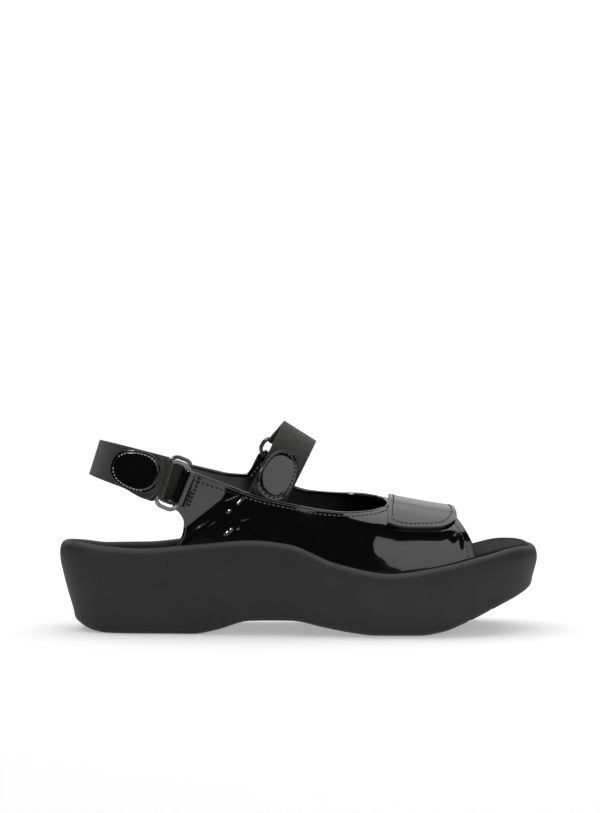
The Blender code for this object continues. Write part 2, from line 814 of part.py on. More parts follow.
def build_heel_strap(material, parts, cutters, clearances):
    shares = np.linspace(0, 1, HEEL_STRAP_STATIONS + 1)
    path = [heel_path(share) for share in shares]
    half = WEBBING_PAIR / 2
    widths = [heel_width(e) for e, _, _ in path]
    rows = band_rows(HEEL_PLANE, path, [(half, half)] * len(path), widths)
    mesh = mesh_from_grid("heel_strap", rows, close_rows=True, cap=True)
    strap = add_object("heel_strap", mesh, material, parts)
    for side, y in HEEL_BAR_Y.items():
        loop = bead(
            f"heel_loop_{side}",
            HEEL_PLANE.point(0, y),
            HEEL_PLANE.width,
            LOOP_RADIUS,
            HEEL_WIDTH_BAR - 1.0,
            cutters,
        )
        join_or_cut(strap, loop, "UNION")
        join_or_cut(strap, clearances[side], "DIFFERENCE")


def instep_stations():
    """Drops below the top of the instep band, from the tucked lateral end to the medial bar."""
    lateral = np.linspace(1, 0, INSTEP_STATIONS) ** 1.6 * INSTEP_TUCK
    medial = np.linspace(0, 1, 10)[1:] ** 1.6 * INSTEP_UPPER_BAR
    return [(drop, "lateral") for drop in lateral] + [(drop, "medial") for drop in medial]


def build_instep_strap(material, parts, cutters, clearance):
    stations = instep_stations()
    path = [instep_path(drop, side) for drop, side in stations]
    thickness = []
    for drop, side in stations:
        single = side == "lateral" and drop > INSTEP_SINGLE_FROM
        thickness.append((0.0 if single else WEBBING_PAIR / 2, WEBBING_PAIR / 2))
    rows = band_rows(INSTEP_PLANE, path, thickness, [INSTEP_WIDTH] * len(path))
    mesh = mesh_from_grid("instep_strap", rows, close_rows=True, cap=True)
    strap = add_object("instep_strap", mesh, material, parts)
    bar = INSTEP_PLANE.point(*instep_path(INSTEP_UPPER_BAR, "medial"))
    loop = bead("instep_loop", bar, INSTEP_PLANE.width, LOOP_RADIUS, INSTEP_WIDTH - 1.0, cutters)
    join_or_cut(strap, loop, "UNION")
    join_or_cut(strap, clearance, "DIFFERENCE")


def fold_upper_round_rings(upper, cutters, heel_bars, clearances, instep_bar, instep_clearance):
    """Round loop ends on the upper's ears, with clear ways for the rings."""
    heel_lean = Vector((math.sin(HEEL_RING_LEAN), 0.0, math.cos(HEEL_RING_LEAN)))
    for side, centre in heel_bars.items():
        loop = bead(f"ear_loop_{side}", centre, heel_lean, LOOP_RADIUS, 19.0, cutters)
        join_or_cut(upper, loop, "UNION")
        join_or_cut(upper, clearances[side], "DIFFERENCE")
    loop = bead("ear_loop_instep", instep_bar, INSTEP_PLANE.width, LOOP_RADIUS, 17.0, cutters)
    join_or_cut(upper, loop, "UNION")
    join_or_cut(upper, instep_clearance, "DIFFERENCE")


def patch_rows(plane, place, half_size, egg):
    """Rings of an egg-shaped patch. place(along, lift) gives (e, y, w) on the band's outer face."""
    rows = []
    levels = [(GAP, 1.0), (GAP + PATCH_THICKNESS * 0.6, 1.0), (GAP + PATCH_THICKNESS, 0.93)]
    levels += [(GAP + PATCH_THICKNESS, share / PATCH_RINGS) for share in range(PATCH_RINGS - 1, 0, -1)]
    levels = [(GAP, share / PATCH_RINGS) for share in range(1, PATCH_RINGS)] + levels
    for lift, size in levels:
        row = []
        for i in range(PATCH_POINTS):
            turn = 2 * math.pi * i / PATCH_POINTS
            along = half_size[0] * math.cos(turn) * size
            across = half_size[1] * math.sin(turn) * (1 + egg * math.cos(turn)) * size
            e, y, w = place(along, lift)
            row.append(plane.point(e, y, w + across))
        rows.append(row)
    return rows


def outward_place(path, at):
    """Place on a band's outer face: path(length) gives the middle line, at is the patch's centre."""

    def place(along, lift):
        near = 0.05
        here, ahead = np.array(path(at + along)), np.array(path(at + along + near))
        de, dy, _ = ahead - here
        normal = np.array((-dy, de, 0.0)) / math.hypot(de, dy)
        if normal[1] > 0:
            normal = -normal
        return here + normal * (WEBBING_PAIR / 2 + lift)

    return place


def length_path(points):
    """A path as a function of the length run along it."""
    points = np.array(points)
    lengths = np.concatenate([[0], np.cumsum(np.linalg.norm(np.diff(points, axis=0), axis=1))])
    return lambda run: tuple(np.interp(run, lengths, points[:, axis]) for axis in range(3))


def build_patches(material, parts):
    heel_line = length_path([heel_path(share) for share in np.linspace(0, 0.6, 200)])
    heel_place = outward_place(heel_line, HEEL_PATCH_CENTRE)
    instep_place = outward_place(lambda run: instep_path(run, "lateral"), INSTEP_PATCH_CENTRE)
    heel_rows = patch_rows(HEEL_PLANE, heel_place, HEEL_PATCH_HALF, HEEL_PATCH_EGG)
    instep_rows = patch_rows(INSTEP_PLANE, instep_place, INSTEP_PATCH_HALF, INSTEP_PATCH_EGG)
    for name, rows in (("heel_tab_patch", heel_rows), ("instep_tab_patch", instep_rows)):
        mesh = mesh_from_grid(name, rows, close_rows=True, cap=True)
        add_object(name, mesh, material, parts)


def build_heel_rings(material, parts, cutters):
    """Both heel rings. Returns their clearance shapes and the bars that the upper's ears fold round."""
    bar = Vector((math.sin(HEEL_RING_LEAN), 0.0, math.cos(HEEL_RING_LEAN)))
    cross = Vector((math.cos(HEEL_RING_LEAN), 0.0, -math.sin(HEEL_RING_LEAN)))
    clearances, ear_bars = {}, {}
    for side, y in HEEL_BAR_Y.items():
        strap_bar = HEEL_PLANE.point(0, y)
        centre = strap_bar + cross * (BAR_SPACING / 2) + bar * HEEL_RING_RAISE[side]
        points = ring_points(centre, bar, cross, HEEL_RING_LENGTH, BAR_SPACING)
        clearances[side] = build_ring(f"heel_ring_{side}", points, material, parts, cutters)
        ear_bars[side] = strap_bar + cross * BAR_SPACING
    return clearances, ear_bars


def build_instep_ring(material, parts, cutters):
    """The instep ring, from the strap's loop to the top of the medial ear."""
    e, y, w = instep_path(INSTEP_UPPER_BAR, "medial")
    upper_bar = INSTEP_PLANE.point(e, y, w)
    lower_bar = INSTEP_PLANE.point(-INSTEP_LOWER_BAR, 0.0, w)
    turn = turn_at(lower_bar.x, lower_bar.z, "medial")
    lower_bar.y = last_point(lower_bar.x, turn, -LEATHER / 2).y
    cross = lower_bar - upper_bar
    points = ring_points(
        (upper_bar + lower_bar) / 2,
        INSTEP_PLANE.width,
        cross.normalized(),
        INSTEP_RING_LENGTH,
        cross.length,
    )
    return build_ring("instep_ring", points, material, parts, cutters), lower_bar


def main():
    for obj in list(bpy.data.objects):
        bpy.data.objects.remove(obj)
    parts = bpy.data.collections.new("sandal")
    cutters = bpy.data.collections.new("cutters")
    for collection in (parts, cutters):
        bpy.context.scene.collection.children.link(collection)
    sole_foam = make_material("sole_foam", (0.035, 0.035, 0.034), 0.62)
    bed_cover = make_material("bed_cover", (0.022, 0.021, 0.02), 0.8)
    patent = make_material("patent_leather", (0.006, 0.006, 0.007), 0.08, coat=1.0)
    webbing = make_material("webbing", (0.05, 0.048, 0.043), 0.85)
    ring_metal = make_material("ring_metal", (0.32, 0.32, 0.33), 0.3, metallic=1.0)

    build_sole(sole_foam, parts, cutters)
    build_footbed(bed_cover, parts)
    upper = build_upper(patent, parts)
    build_vamp_strap(patent, parts)
    clearances, ear_bars = build_heel_rings(ring_metal, parts, cutters)
    instep_clearance, instep_bar = build_instep_ring(ring_metal, parts, cutters)
    fold_upper_round_rings(upper, cutters, ear_bars, clearances, instep_bar, instep_clearance)
    build_heel_strap(webbing, parts, cutters, clearances)
    build_instep_strap(webbing, parts, cutters, instep_clearance)
    build_patches(patent, parts)


main()
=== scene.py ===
"""Open-toe patent sandal for the right foot: moulded sole, footbed, lacquered upper, webbing straps and rings.

+X points to the toe, +Y to the medial (inner) side, +Z up. Sizes in the tables are millimetres.
"""

import math

import bmesh
import bpy
import numpy as np
from mathutils import Matrix, Vector
from mathutils.noise import noise as ripple_at


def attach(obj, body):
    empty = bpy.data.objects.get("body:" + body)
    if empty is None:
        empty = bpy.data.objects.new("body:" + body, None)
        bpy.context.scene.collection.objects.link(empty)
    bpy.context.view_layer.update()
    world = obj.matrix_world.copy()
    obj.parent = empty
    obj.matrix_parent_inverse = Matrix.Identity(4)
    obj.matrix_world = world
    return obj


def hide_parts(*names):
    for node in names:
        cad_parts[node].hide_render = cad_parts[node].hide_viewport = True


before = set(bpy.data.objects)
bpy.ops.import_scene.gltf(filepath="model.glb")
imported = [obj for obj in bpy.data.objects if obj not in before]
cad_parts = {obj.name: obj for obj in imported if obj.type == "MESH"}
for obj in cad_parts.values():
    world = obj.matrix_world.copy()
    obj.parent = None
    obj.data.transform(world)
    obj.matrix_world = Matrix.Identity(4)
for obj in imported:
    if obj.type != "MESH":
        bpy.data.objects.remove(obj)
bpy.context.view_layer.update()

MM = 0.001
GAP = 0.3

# Sole, footbed and last
SOLE_LENGTH = 258.0
HEEL_ROUND = (40.0, 2.25)
TOE_ROUND = {"lateral": (86.0, 2.3), "medial": (62.0, 2.5)}
TOE_SWING = (7.0, 30.0)
RIM_WALL = 5.2
BED_THICKNESS = 5.5
LEATHER = 1.9
UPPER_TUCK = 4.5
# x, half width lateral and medial, rim height lateral and medial, taper of the wall
SOLE_SECTIONS = (
    (-129, 33.5, 32.5, 47.6, 47.6, 7.2),
    (-119, 33.8, 32.8, 48.8, 46.4, 6.6),
    (-104, 34.2, 33.2, 47.2, 44.2, 5.0),
    (-84, 34.8, 33.6, 45.9, 44.3, 4.0),
    (-55, 36.4, 34.0, 48.2, 47.4, 3.5),
    (-24, 39.2, 34.6, 50.6, 51.8, 3.5),
    (-6, 41.8, 36.2, 48.8, 50.2, 3.5),
    (20, 46.0, 40.6, 38.9, 40.4, 3.5),
    (48, 49.2, 44.6, 33.9, 33.6, 3.5),
    (72, 50.6, 46.0, 36.9, 36.6, 3.2),
    (98, 51.0, 46.2, 42.4, 42.3, 2.8),
    (118, 51.0, 46.2, 46.0, 45.0, 2.6),
    (129, 51.0, 46.2, 44.6, 44.8, 2.4),
)
# x, height of the tread, lift at its edge
TREAD_LINE = (
    (-122, 5.4, 0.5), (-115.5, 2.6, 0.5), (-109, 0.6, 0.5), (-102, 0.0, 0.4), (-56, 0.0, 0.4),
    (-44, 2.2, 0.4), (-26, 7.2, 0.4), (-4, 7.6, 0.4), (12, 4.6, 0.9), (28, 1.4, 1.5), (40, 0.0, 1.8),
    (64, 0.0, 1.8), (76, 1.8, 1.6), (88, 6.4, 1.2), (102, 12.6, 0.8), (118, 19.2, 0.4), (127, 23.0, 0.2),
)
# x, height of the footbed, cup at its edge
BED_LINE = (
    (-120, 40.4, 1.6), (-85, 38.6, 1.8), (-58, 39.4, 1.4), (-28, 42.4, 1.0), (-4, 41.0, 0.8), (22, 35.8, 0.4),
    (50, 32.6, 0.2), (74, 36.4, 0.0), (97, 42.9, 0.0), (112, 46.0, 0.1), (124, 46.6, 0.2),
)
# x, y and z of the last's ridge, power of its section
LAST_SECTIONS = (
    (-72, 0.0, 150.0, 2.4), (-40, 0.5, 126.0, 2.4), (-12, 1.0, 108.0, 2.35), (12, 1.8, 87.0, 2.4),
    (30, 2.4, 76.4, 2.6), (48, 3.0, 69.6, 2.85), (66, 3.4, 65.8, 3.0), (84, 3.8, 62.8, 3.0), (98, 4.2, 60.0, 2.9),
)
# Over the rim from outside in: inset and drop below its top. Over the footbed's edge: inset, lift, share of the cup
RIM_PROFILE = ((0.35, 2.8), (1.4, 0.7), (2.7, 0.0), (4.0, 0.6), (5.0, 2.2))
BED_PROFILE = ((0.0, -1.5, 1.0), (0.4, -0.5, 1.0), (1.6, 0.0, 1.0), (9.0, 0.0, 0.45), (18.0, 0.0, 0.0))
# Round the sole's lower edge: insets past the wall's taper, lift of the last one, and the wall's start and end
LOWER_EDGE = {"insets": (16.0, 3.4, 1.0), "lift": 1.3, "wall_from": 5.0, "wall_to": 7.0}
SOLE_SPANS, BED_SPANS = (5, 3, 4, 4, 4, 4, 4, 3, 3, 3, 3, 2), (2, 3, 3, 4, 8, 8)
SWELL = {"back": -14.0, "peak": 39.0, "front": 73.0, "height": 1.2, "fade_z": (58.0, 68.0)}
GROOVE_DEPTH, GROOVE_HALF, GROOVE_BOW, GROOVE_SPAN = 1.8, (1.02, 1.6), 9.0, 62.0
OPEN_GROOVES_FROM = 92.0
GROOVES = (-96.0, -84.0, -72.0, 38.0, 50.0, 62.0, 74.0, 86.0, 97.6, 109.2)

# Edges of the upper in side view, from the rear ear forwards
LATERAL_COLLAR = (
    (-57.6, 85.8), (-41.7, 80.0), (-20.6, 72.6), (-4.8, 69.2), (12.0, 66.1), (26.0, 64.9), (37.0, 65.5), (45.0, 67.2),
)
MEDIAL_COLLAR = ((42.0, 71.0), (34.0, 71.6), (22.0, 71.4), (6.0, 72.2), (-3.0, 74.4))
MEDIAL_EAR_TOP = ((-5.8, 84.0), (-20.8, 93.4))
MEDIAL_REAR_COLLAR = ((-29.6, 80.9), (-38.0, 81.4), (-48.0, 83.5), (-59.8, 86.3))
THROAT_X = 48.4
# Rear edge of the quarter, from the ear's top down: share of the way, x and z
REAR_EDGE = (
    (0.0, -57.6, 85.8), (0.4, -66.2, 68.4), (0.5, -62.8, 65.4), (0.64, -60.2, 60.0), (0.8, -60.8, 53.4),
    (0.9, -62.6, 49.4), (1.0, -65.0, 43.0),
)
MEDIAL_EAR_SHIFT = (-2.2, 0.5)
COLLAR_SEAM, FRONT_SEAM, FLAP_SEAM, EAR_SEAM_TO_X = 2.9, 3.0, 2.4, -29.0
FAR_EAR_SEAMS = (((-18.6, 90.8), (-27.4, 79.6)), ((-14.6, 88.2), (-23.6, 76.8)))
MEDIAL_FEATHER_X = (-1.0, -10.0, -26.0)
FRONT_CORNER_X, FRONT_TOP_X, FRONT_EDGE_POWER = 92.6, 82.4, 2.6
RIBS = {"lateral": 160, "vamp": 80, "medial": 45, "ear_side": 15, "ear_top": 15, "rear": 40}
RIB_STEPS = 72
FRONT_RIBS = range(RIBS["lateral"], RIBS["lateral"] + RIBS["vamp"] + 1)
LATERAL_SHARES = np.interp(np.linspace(0, 1, RIBS["lateral"] + 1), (0, 0.62, 1), (0, 0.36, 1))
REAR_BLEND = 0.35

# Forefoot strap, webbing straps, rings and patches
FLAP = {"back": 49.0, "front": 83.6, "lean": -2.6, "end_z": 56.0, "power": 4.0, "thick": 1.8}
FLAP_CORNER_LIFT = {"back": 2.0, "front": 4.2}
FLAP_ARCH = {"height": 0.75, "rise": (0.9, 1.3), "fall": (1.85, 2.3)}
HEEL = {"drop": 17.4, "roll": -2.4, "yaw": 2.6, "bar": (-72.9, 81.0), "reach": 37.7, "straight": 7.0, "power": 2.1}
HEEL_BAR_Y = {"lateral": -29.4, "medial": 27.6}
HEEL_WIDTH = (23.0, 19.4)
INSTEP = {"drop": 32.3, "top": (-0.9, 104.7), "half": 28.5, "rise": 30.6, "y": 0.3, "width": 19.8, "splay": 0.07}
INSTEP_LEAN = {"lateral": 0.09, "medial": -0.14}
INSTEP_BARS = (10.2, 20.0)
INSTEP_TUCK = 52.0
# Free ends of the straps, by the run along them: rounding, lift of the tip, and the heel strap's deeper lower edge
HEEL_END = {"round": 6.5, "lift": 1.9, "lift_to": (0.8, 9.8), "deeper": 1.6, "from": (0.4, 3.0), "to": (8.0, 20.0)}
INSTEP_END = {"round": 8.0, "lift": 0.3, "lift_run": 9.0, "drop": 38.6}
# The instep strap's wider front edge and its crown
INSTEP_CROWN = {"wider": 0.5, "height": 1.0, "fall": (4.0, 18.0)}
HEEL_LOOP = {
    "lateral": {"raise": 0.8, "narrower": 2.6, "slack": 0.0},
    "medial": {"raise": 0.0, "narrower": 1.0, "slack": 6.4},
}
EAR_SLACK = {"lateral": 0.0, "medial": 1.2}
WEBBING = 1.7
INNER_TOP, STRAP_TRIM, TAB_FROM = -0.06, 0.6, 0.8
WIRE_RADIUS = 1.1
# Folds round the rings' bars: radius, length of the tail and half its thickness
HEEL_FOLD, INSTEP_FOLD = (2.5, 7.0, 1.6), (2.6, 6.0, 1.6)
EAR_FOLD, INSTEP_EAR_FOLD = (2.9, 4.9, 0.3), (2.9, 7.0, 0.5)
EAR_WIDTH, INSTEP_EAR_WIDTH = 19.0, 17.0
EAR_STITCHES = {"behind": 0.7, "span": (-8.6, 8.2)}
RING_LEAN, BAR_SPACING, RING_CORNER = math.radians(22.0), 11.6, 4.0
RING_RAISE = {"lateral": -1.0, "medial": 0.8}
RING_LENGTH = {"heel": 25.2, "instep": 22.6}
# Pull patches: outline, lean of the face, arcs whose stitches carry a painted glint in degrees, and a stitch's pitch,
# length and width
PATCHES = {
    "heel": {
        "centre": 15.3, "half": (13.6, 11.0), "egg": -0.1, "lean": 0.0,
        "light": ((25, 140), (240, 350)), "stitch": (1.95, 1.35, 0.7),
    },
    "instep": {
        "centre": 22.8, "half": (13.6, 9.5), "egg": 0.1, "lean": 0.045,
        "light": (), "stitch": (2.4, 1.6, 1.1),
    },
}
# Patch from the middle of its face over its sewn groove and round its edge: share of the way out, share of the height
PATCH_PROFILE = (
    (0.0, 1.0), (0.4, 1.0), (0.7, 1.0), (0.8, 0.995), (0.83, 0.96), (0.85, 0.9), (0.87, 0.9), (0.89, 0.96),
    (0.92, 0.995), (0.95, 1.0), (0.975, 0.97), (0.99, 0.85), (1.0, 0.5), (0.998, 0.0), (0.6, 0.0), (0.0, 0.0),
)
PATCH_SEAM, PATCH_POINTS, PATCH_CORNER = 0.86, 96, 0.88
PATCH_THICKNESS = 1.2
# Rows of stitches in the leather: lift off its outer face, pitch, length and width
STITCH_ROWS = {
    "collar": (0.18, 2.5, 1.8, 0.8),
    "front": (0.14, 2.5, 1.8, 0.65),
    "ear_collar": (0.2, 2.5, 1.6, 1.1),
    "far_ear": (-LEATHER - 0.15, 2.6, 1.3, 0.7),
    "flap": (GAP + FLAP["thick"] + 0.1, 2.3, 1.6, 0.6),
    "ear": (0.35, 2.15, 1.5, 2.0),
}


# Lines and surfaces


def cubic(start, end, leave, arrive, step, t):
    """A cubic from start to end, step apart, with the slopes it leaves and arrives with."""
    between = start * (1 + 2 * t) * (1 - t) ** 2 + end * t * t * (3 - 2 * t)
    return between + step * t * (1 - t) * (leave * (1 - t) - arrive * t)


def smooth_line(xs, ys):
    """A monotone cubic through the points (xs, ys)."""
    order = np.argsort(xs)
    xs, ys = np.asarray(xs, float)[order], np.asarray(ys, float)[order]
    step = np.diff(xs)
    slope = np.diff(ys) / step
    tangent = np.concatenate([[slope[0]], np.zeros(len(xs) - 2), [slope[-1]]])
    for i in range(1, len(xs) - 1):
        if slope[i - 1] * slope[i] > 0:
            before = 2 * step[i] + step[i - 1]
            after = step[i] + 2 * step[i - 1]
            tangent[i] = (before + after) / (before / slope[i - 1] + after / slope[i])

    def value(x):
        x = float(min(max(x, xs[0]), xs[-1]))
        i = int(min(max(np.searchsorted(xs, x) - 1, 0), len(step) - 1))
        return cubic(ys[i], ys[i + 1], tangent[i], tangent[i + 1], step[i], (x - xs[i]) / step[i])

    return value


def table_lines(rows):
    """One smooth line over x, the first column, for each further column of a table."""
    columns = np.array(rows, float).T
    return [smooth_line(columns[0], values) for values in columns[1:]]


def mix(a, b, share):
    return a + (b - a) * share


def ease(low, high, value):
    """0 below low, 1 above high and smooth between."""
    t = min(max((value - low) / (high - low), 0.0), 1.0)
    return t * t * (3 - 2 * t)


def run_lengths(points):
    """Length run at each point of a polyline."""
    return np.concatenate([[0], np.cumsum(np.linalg.norm(np.diff(points, axis=0), axis=1))])


def through(points, spans):
    """Points on a smooth curve through control points, with spans[i] steps from point i to the next."""
    points = np.array(points, float)
    length = np.maximum(np.linalg.norm(np.diff(points, axis=0), axis=1), 1e-6)
    slope = np.diff(points, axis=0) / length[:, None]
    tangent = np.empty_like(points)
    tangent[0], tangent[-1] = slope[0], slope[-1]
    weight = (length[1:] / (length[:-1] + length[1:]))[:, None]
    tangent[1:-1] = slope[:-1] * weight + slope[1:] * (1 - weight)
    line = [points[0]]
    for i, count in enumerate(spans):
        for t in np.linspace(0, 1, count + 1)[1:]:
            line.append(cubic(points[i], points[i + 1], tangent[i], tangent[i + 1], length[i], t))
    return line


SIDES = ("lateral", "medial")
sole_lines = table_lines(SOLE_SECTIONS)
half_width, rim_height = dict(zip(SIDES, sole_lines[:2])), dict(zip(SIDES, sole_lines[2:4]))
wall_taper = sole_lines[4]
tread_height, edge_lift = table_lines(TREAD_LINE)
bed_height, bed_cup = table_lines(BED_LINE)
ridge_y, ridge_z, last_power = table_lines(LAST_SECTIONS)


def end_round(distance, radius, power):
    if distance >= radius:
        return 1.0
    return (1 - (1 - max(distance, 0.0) / radius) ** power) ** (1 / power)


def outline_y(x, side):
    half = SOLE_LENGTH / 2
    width = half_width[side](x) * end_round(x + half, *HEEL_ROUND) * end_round(half - x, *TOE_ROUND[side])
    swing = max(0.0, (x - TOE_SWING[1]) / (half - TOE_SWING[1]))
    return TOE_SWING[0] * swing**2 + (width if side == "medial" else -width)


def outline_at(turn):
    """The rim's outline from the heel (0) along the lateral side to the toe (pi) and back."""
    x = -SOLE_LENGTH / 2 * math.cos(turn)
    side = "lateral" if math.sin(turn) >= 0 else "medial"
    return x, outline_y(x, side), side


def inset_point(turn, inset, height):
    """The outline's point moved inwards, at height(x, side)."""
    near = 2e-3
    x, y, side = outline_at(turn)
    before, after = outline_at(turn - near), outline_at(turn + near)
    normal = Vector((after[1] - before[1], before[0] - after[0])).normalized()
    px, py = x - normal.x * inset, y - normal.y * inset
    return (px, py, height(px, side))


def inset_edge(side, inset):
    turns = np.linspace(0, math.pi, 145) if side == "lateral" else np.linspace(2 * math.pi - 1e-6, math.pi, 145)
    xs, ys = np.array([inset_point(turn, inset, lambda x, s: 0.0)[:2] for turn in turns]).T
    order = np.argsort(xs)
    return lambda x: float(np.interp(x, xs[order], ys[order]))


UPPER_EDGE = {side: inset_edge(side, RIM_WALL + GAP) for side in SIDES}


def feather_height(x, side):
    return rim_height[side](x) - UPPER_TUCK


def side_swell(x, z):
    """How far the lateral side swells at the ball of the foot."""
    if not SWELL["back"] < x < SWELL["front"]:
        return 0.0
    if x < SWELL["peak"]:
        along = ((x - SWELL["back"]) / (SWELL["peak"] - SWELL["back"])) ** 1.3
    else:
        along = ((SWELL["front"] - x) / (SWELL["front"] - SWELL["peak"])) ** 2
    return SWELL["height"] * along * (1 - ease(*SWELL["fade_z"], z))


def last_surface(x, turn):
    """The last: turn runs from 0 at the lateral feather line over the ridge to pi."""
    side = "lateral" if turn <= math.pi / 2 else "medial"
    share = 2 / last_power(x)
    across = abs(math.cos(turn)) ** share
    up = max(math.sin(turn), 0.0) ** share
    return Vector(
        (x, mix(ridge_y(x), UPPER_EDGE[side](x), across), mix(feather_height(x, side), ridge_z(x), up))
    )


def last_normal(x, turn):
    near = 2e-3
    turn = min(max(turn, near), math.pi - near)
    along = last_surface(x + near, turn) - last_surface(x - near, turn)
    around = last_surface(x, turn + near) - last_surface(x, turn - near)
    return along.cross(around).normalized()


def last_point(x, turn, offset=0.0):
    return last_surface(x, turn) + last_normal(x, turn) * offset


def turn_at(x, z, side):
    bottom = feather_height(x, side)
    share = min(max((z - bottom) / (ridge_z(x) - bottom), 0.0), 1.0)
    turn = math.asin(share ** (last_power(x) / 2))
    return turn if side == "lateral" else math.pi - turn


# Mesh making


def grid_mesh(name, place, across, along, uv_size=(1.0, 1.0), inside=None, merge=True):
    """A grid of across by along faces whose corners go to place(i, j), in millimetres."""
    bm = bmesh.new()
    uv = bm.loops.layers.uv.new("UVMap")
    bmesh.ops.create_grid(bm, x_segments=across, y_segments=along, size=0.5, calc_uvs=True)
    for face in bm.faces:
        for loop in face.loops:
            loop[uv].uv = (loop[uv].uv[0] * uv_size[0], loop[uv].uv[1] * uv_size[1])
    for vert in bm.verts:
        i, j = round((vert.co.x + 0.5) * across), round((vert.co.y + 0.5) * along)
        vert.co = Vector(place(i, j)) * MM
    if merge:
        bmesh.ops.remove_doubles(bm, verts=bm.verts, dist=2e-6)
        bmesh.ops.dissolve_degenerate(bm, edges=bm.edges, dist=1e-6)
    if inside is None:
        bmesh.ops.recalc_face_normals(bm, faces=bm.faces)
    else:
        centre = Vector(inside) * MM
        bm.normal_update()
        lean = sum((face.calc_center_median() - centre).dot(face.normal) * face.calc_area() for face in bm.faces)
        if lean < 0:
            bmesh.ops.reverse_faces(bm, faces=bm.faces)
    return finish_mesh(name, bm)


def lofted_mesh(name, sections):
    """A closed skin over sections that end where they start."""
    return grid_mesh(name, lambda i, j: sections[i][j], len(sections) - 1, len(sections[0]) - 1)


def finish_mesh(name, bm):
    mesh = bpy.data.meshes.new(name)
    bm.to_mesh(mesh)
    bm.free()
    return mesh


def link_object(name, data):
    linked = bpy.data.objects.new(name, data)
    bpy.context.scene.collection.objects.link(linked)
    return linked


def shaped_mesh(holder):
    """A new mesh with the object's modifiers or bevel applied."""
    bpy.context.view_layer.update()
    return bpy.data.meshes.new_from_object(holder.evaluated_get(bpy.context.evaluated_depsgraph_get()))


def add_piece(name, mesh, slot, *materials, node=None, smooth=40):
    """A finished piece that rides on the shoe's one body and may stand for a solid of the frame."""
    for material in materials:
        mesh.materials.append(material)
    return settle(link_object(name, mesh), node, smooth)


def settle(piece, node, smooth=40):
    """Applies the piece's modifiers, marks the edges that stay sharp and tells the frame about it."""
    if piece.modifiers:
        mesh = shaped_mesh(piece)
        piece.modifiers.clear()
        piece.data = mesh
    piece.data.shade_smooth()
    piece.data.set_sharp_from_angle(angle=math.radians(smooth))
    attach(piece, "root")
    if node:
        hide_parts(node)
    return piece


def thicken(name, mesh, thickness, edge, slot, *materials, node=None, outwards=False, edge_steps=3):
    """A sheet given a wall and rounded edges. A second material lines its inner face."""
    for material in materials:
        mesh.materials.append(material)
    piece = link_object(name, mesh)
    wall = piece.modifiers.new("wall", "SOLIDIFY")
    wall.thickness = thickness * MM
    wall.offset = 1.0 if outwards else -1.0
    wall.use_even_offset = True
    wall.material_offset = 1 if len(materials) > 1 else 0
    rounding = piece.modifiers.new("edge", "BEVEL")
    rounding.width = edge * MM
    rounding.segments = edge_steps
    rounding.limit_method = "ANGLE"
    rounding.angle_limit = math.radians(60)
    rounding.use_clamp_overlap = True
    settle(piece, node)


def wire_mesh(name, points, radius, closed=False, rounding=3):
    """A round wire or bead along points."""
    curve = bpy.data.curves.new(name, "CURVE")
    curve.dimensions = "3D"
    curve.bevel_depth = radius * MM
    curve.bevel_resolution = rounding
    curve.use_fill_caps = not closed
    spline = curve.splines.new("POLY")
    spline.points.add(len(points) - 1)
    for slot, point in zip(spline.points, points):
        slot.co = (*(Vector(point) * MM), 1.0)
    spline.use_cyclic_u = closed
    holder = link_object(name, curve)
    mesh = shaped_mesh(holder)
    bpy.data.objects.remove(holder)
    bpy.data.curves.remove(curve)
    bm = bmesh.new()
    bm.from_mesh(mesh)
    bmesh.ops.remove_doubles(bm, verts=bm.verts, dist=1e-7)
    bm.to_mesh(mesh)
    bm.free()
    return mesh


def walk(points, pitch, start=0.0):
    """Places at an even pitch along a polyline: (point, direction, share of the way)."""
    points = np.array([tuple(p) for p in points])
    lengths = run_lengths(points)
    runs = np.arange(start, lengths[-1], pitch)
    at, ahead, behind = (
        np.stack([np.interp(runs + shift, lengths, points[:, k]) for k in range(3)], axis=1)
        for shift in (0.0, 0.05, -0.05)
    )
    ways = [Vector(way).normalized() for way in ahead - behind]
    return [(Vector(point), way, run / lengths[-1]) for point, way, run in zip(at, ways, runs)]


def stitch_mesh(name, rows):
    """Short thread stitches along rows of (points, normals, pitch, length, width), in millimetres."""
    bm = bmesh.new()
    for points, normals, pitch, length, width in rows:
        normals = np.array([tuple(n) for n in normals])
        for point, along, share in walk(points, pitch, pitch / 2):
            k = share * (len(normals) - 1)
            low = int(min(k, len(normals) - 2))
            up = Vector(mix(normals[low], normals[low + 1], k - low)).normalized()
            cross = up.cross(along).normalized()
            frame_of = Matrix((along * length / 2, cross * width / 2, up * width * 0.42)).transposed().to_4x4()
            place = Matrix.Translation(point * MM) @ Matrix.Scale(MM, 4) @ frame_of
            bmesh.ops.create_uvsphere(bm, u_segments=8, v_segments=5, radius=1.0, matrix=place)
    bmesh.ops.recalc_face_normals(bm, faces=bm.faces)
    return finish_mesh(name, bm)


# Finishes


def shader_group(name, inputs, outputs):
    """An empty shader node group with named float inputs and outputs."""
    group = bpy.data.node_groups.new(name, "ShaderNodeTree")
    group.interface.new_socket("Vector", in_out="INPUT", socket_type="NodeSocketVector")
    for label, value in inputs:
        socket = group.interface.new_socket(label, in_out="INPUT", socket_type="NodeSocketFloat")
        socket.default_value = value
    for label in outputs:
        group.interface.new_socket(label, in_out="OUTPUT", socket_type="NodeSocketFloat")
    return group, group.nodes.new("NodeGroupInput"), group.nodes.new("NodeGroupOutput")


def math_node(tree, operation, a, b=None):
    node = tree.nodes.new("ShaderNodeMath")
    node.operation = operation
    for socket, value in zip(node.inputs, (a, b)):
        if value is None:
            continue
        if isinstance(value, (int, float)):
            socket.default_value = value
        else:
            tree.links.new(value, socket)
    return node.outputs[0]


def weighted(tree, first, second):
    """Sum of two values, each given as (socket, weight)."""
    return math_node(tree, "ADD", *(math_node(tree, "MULTIPLY", *part) for part in (first, second)))


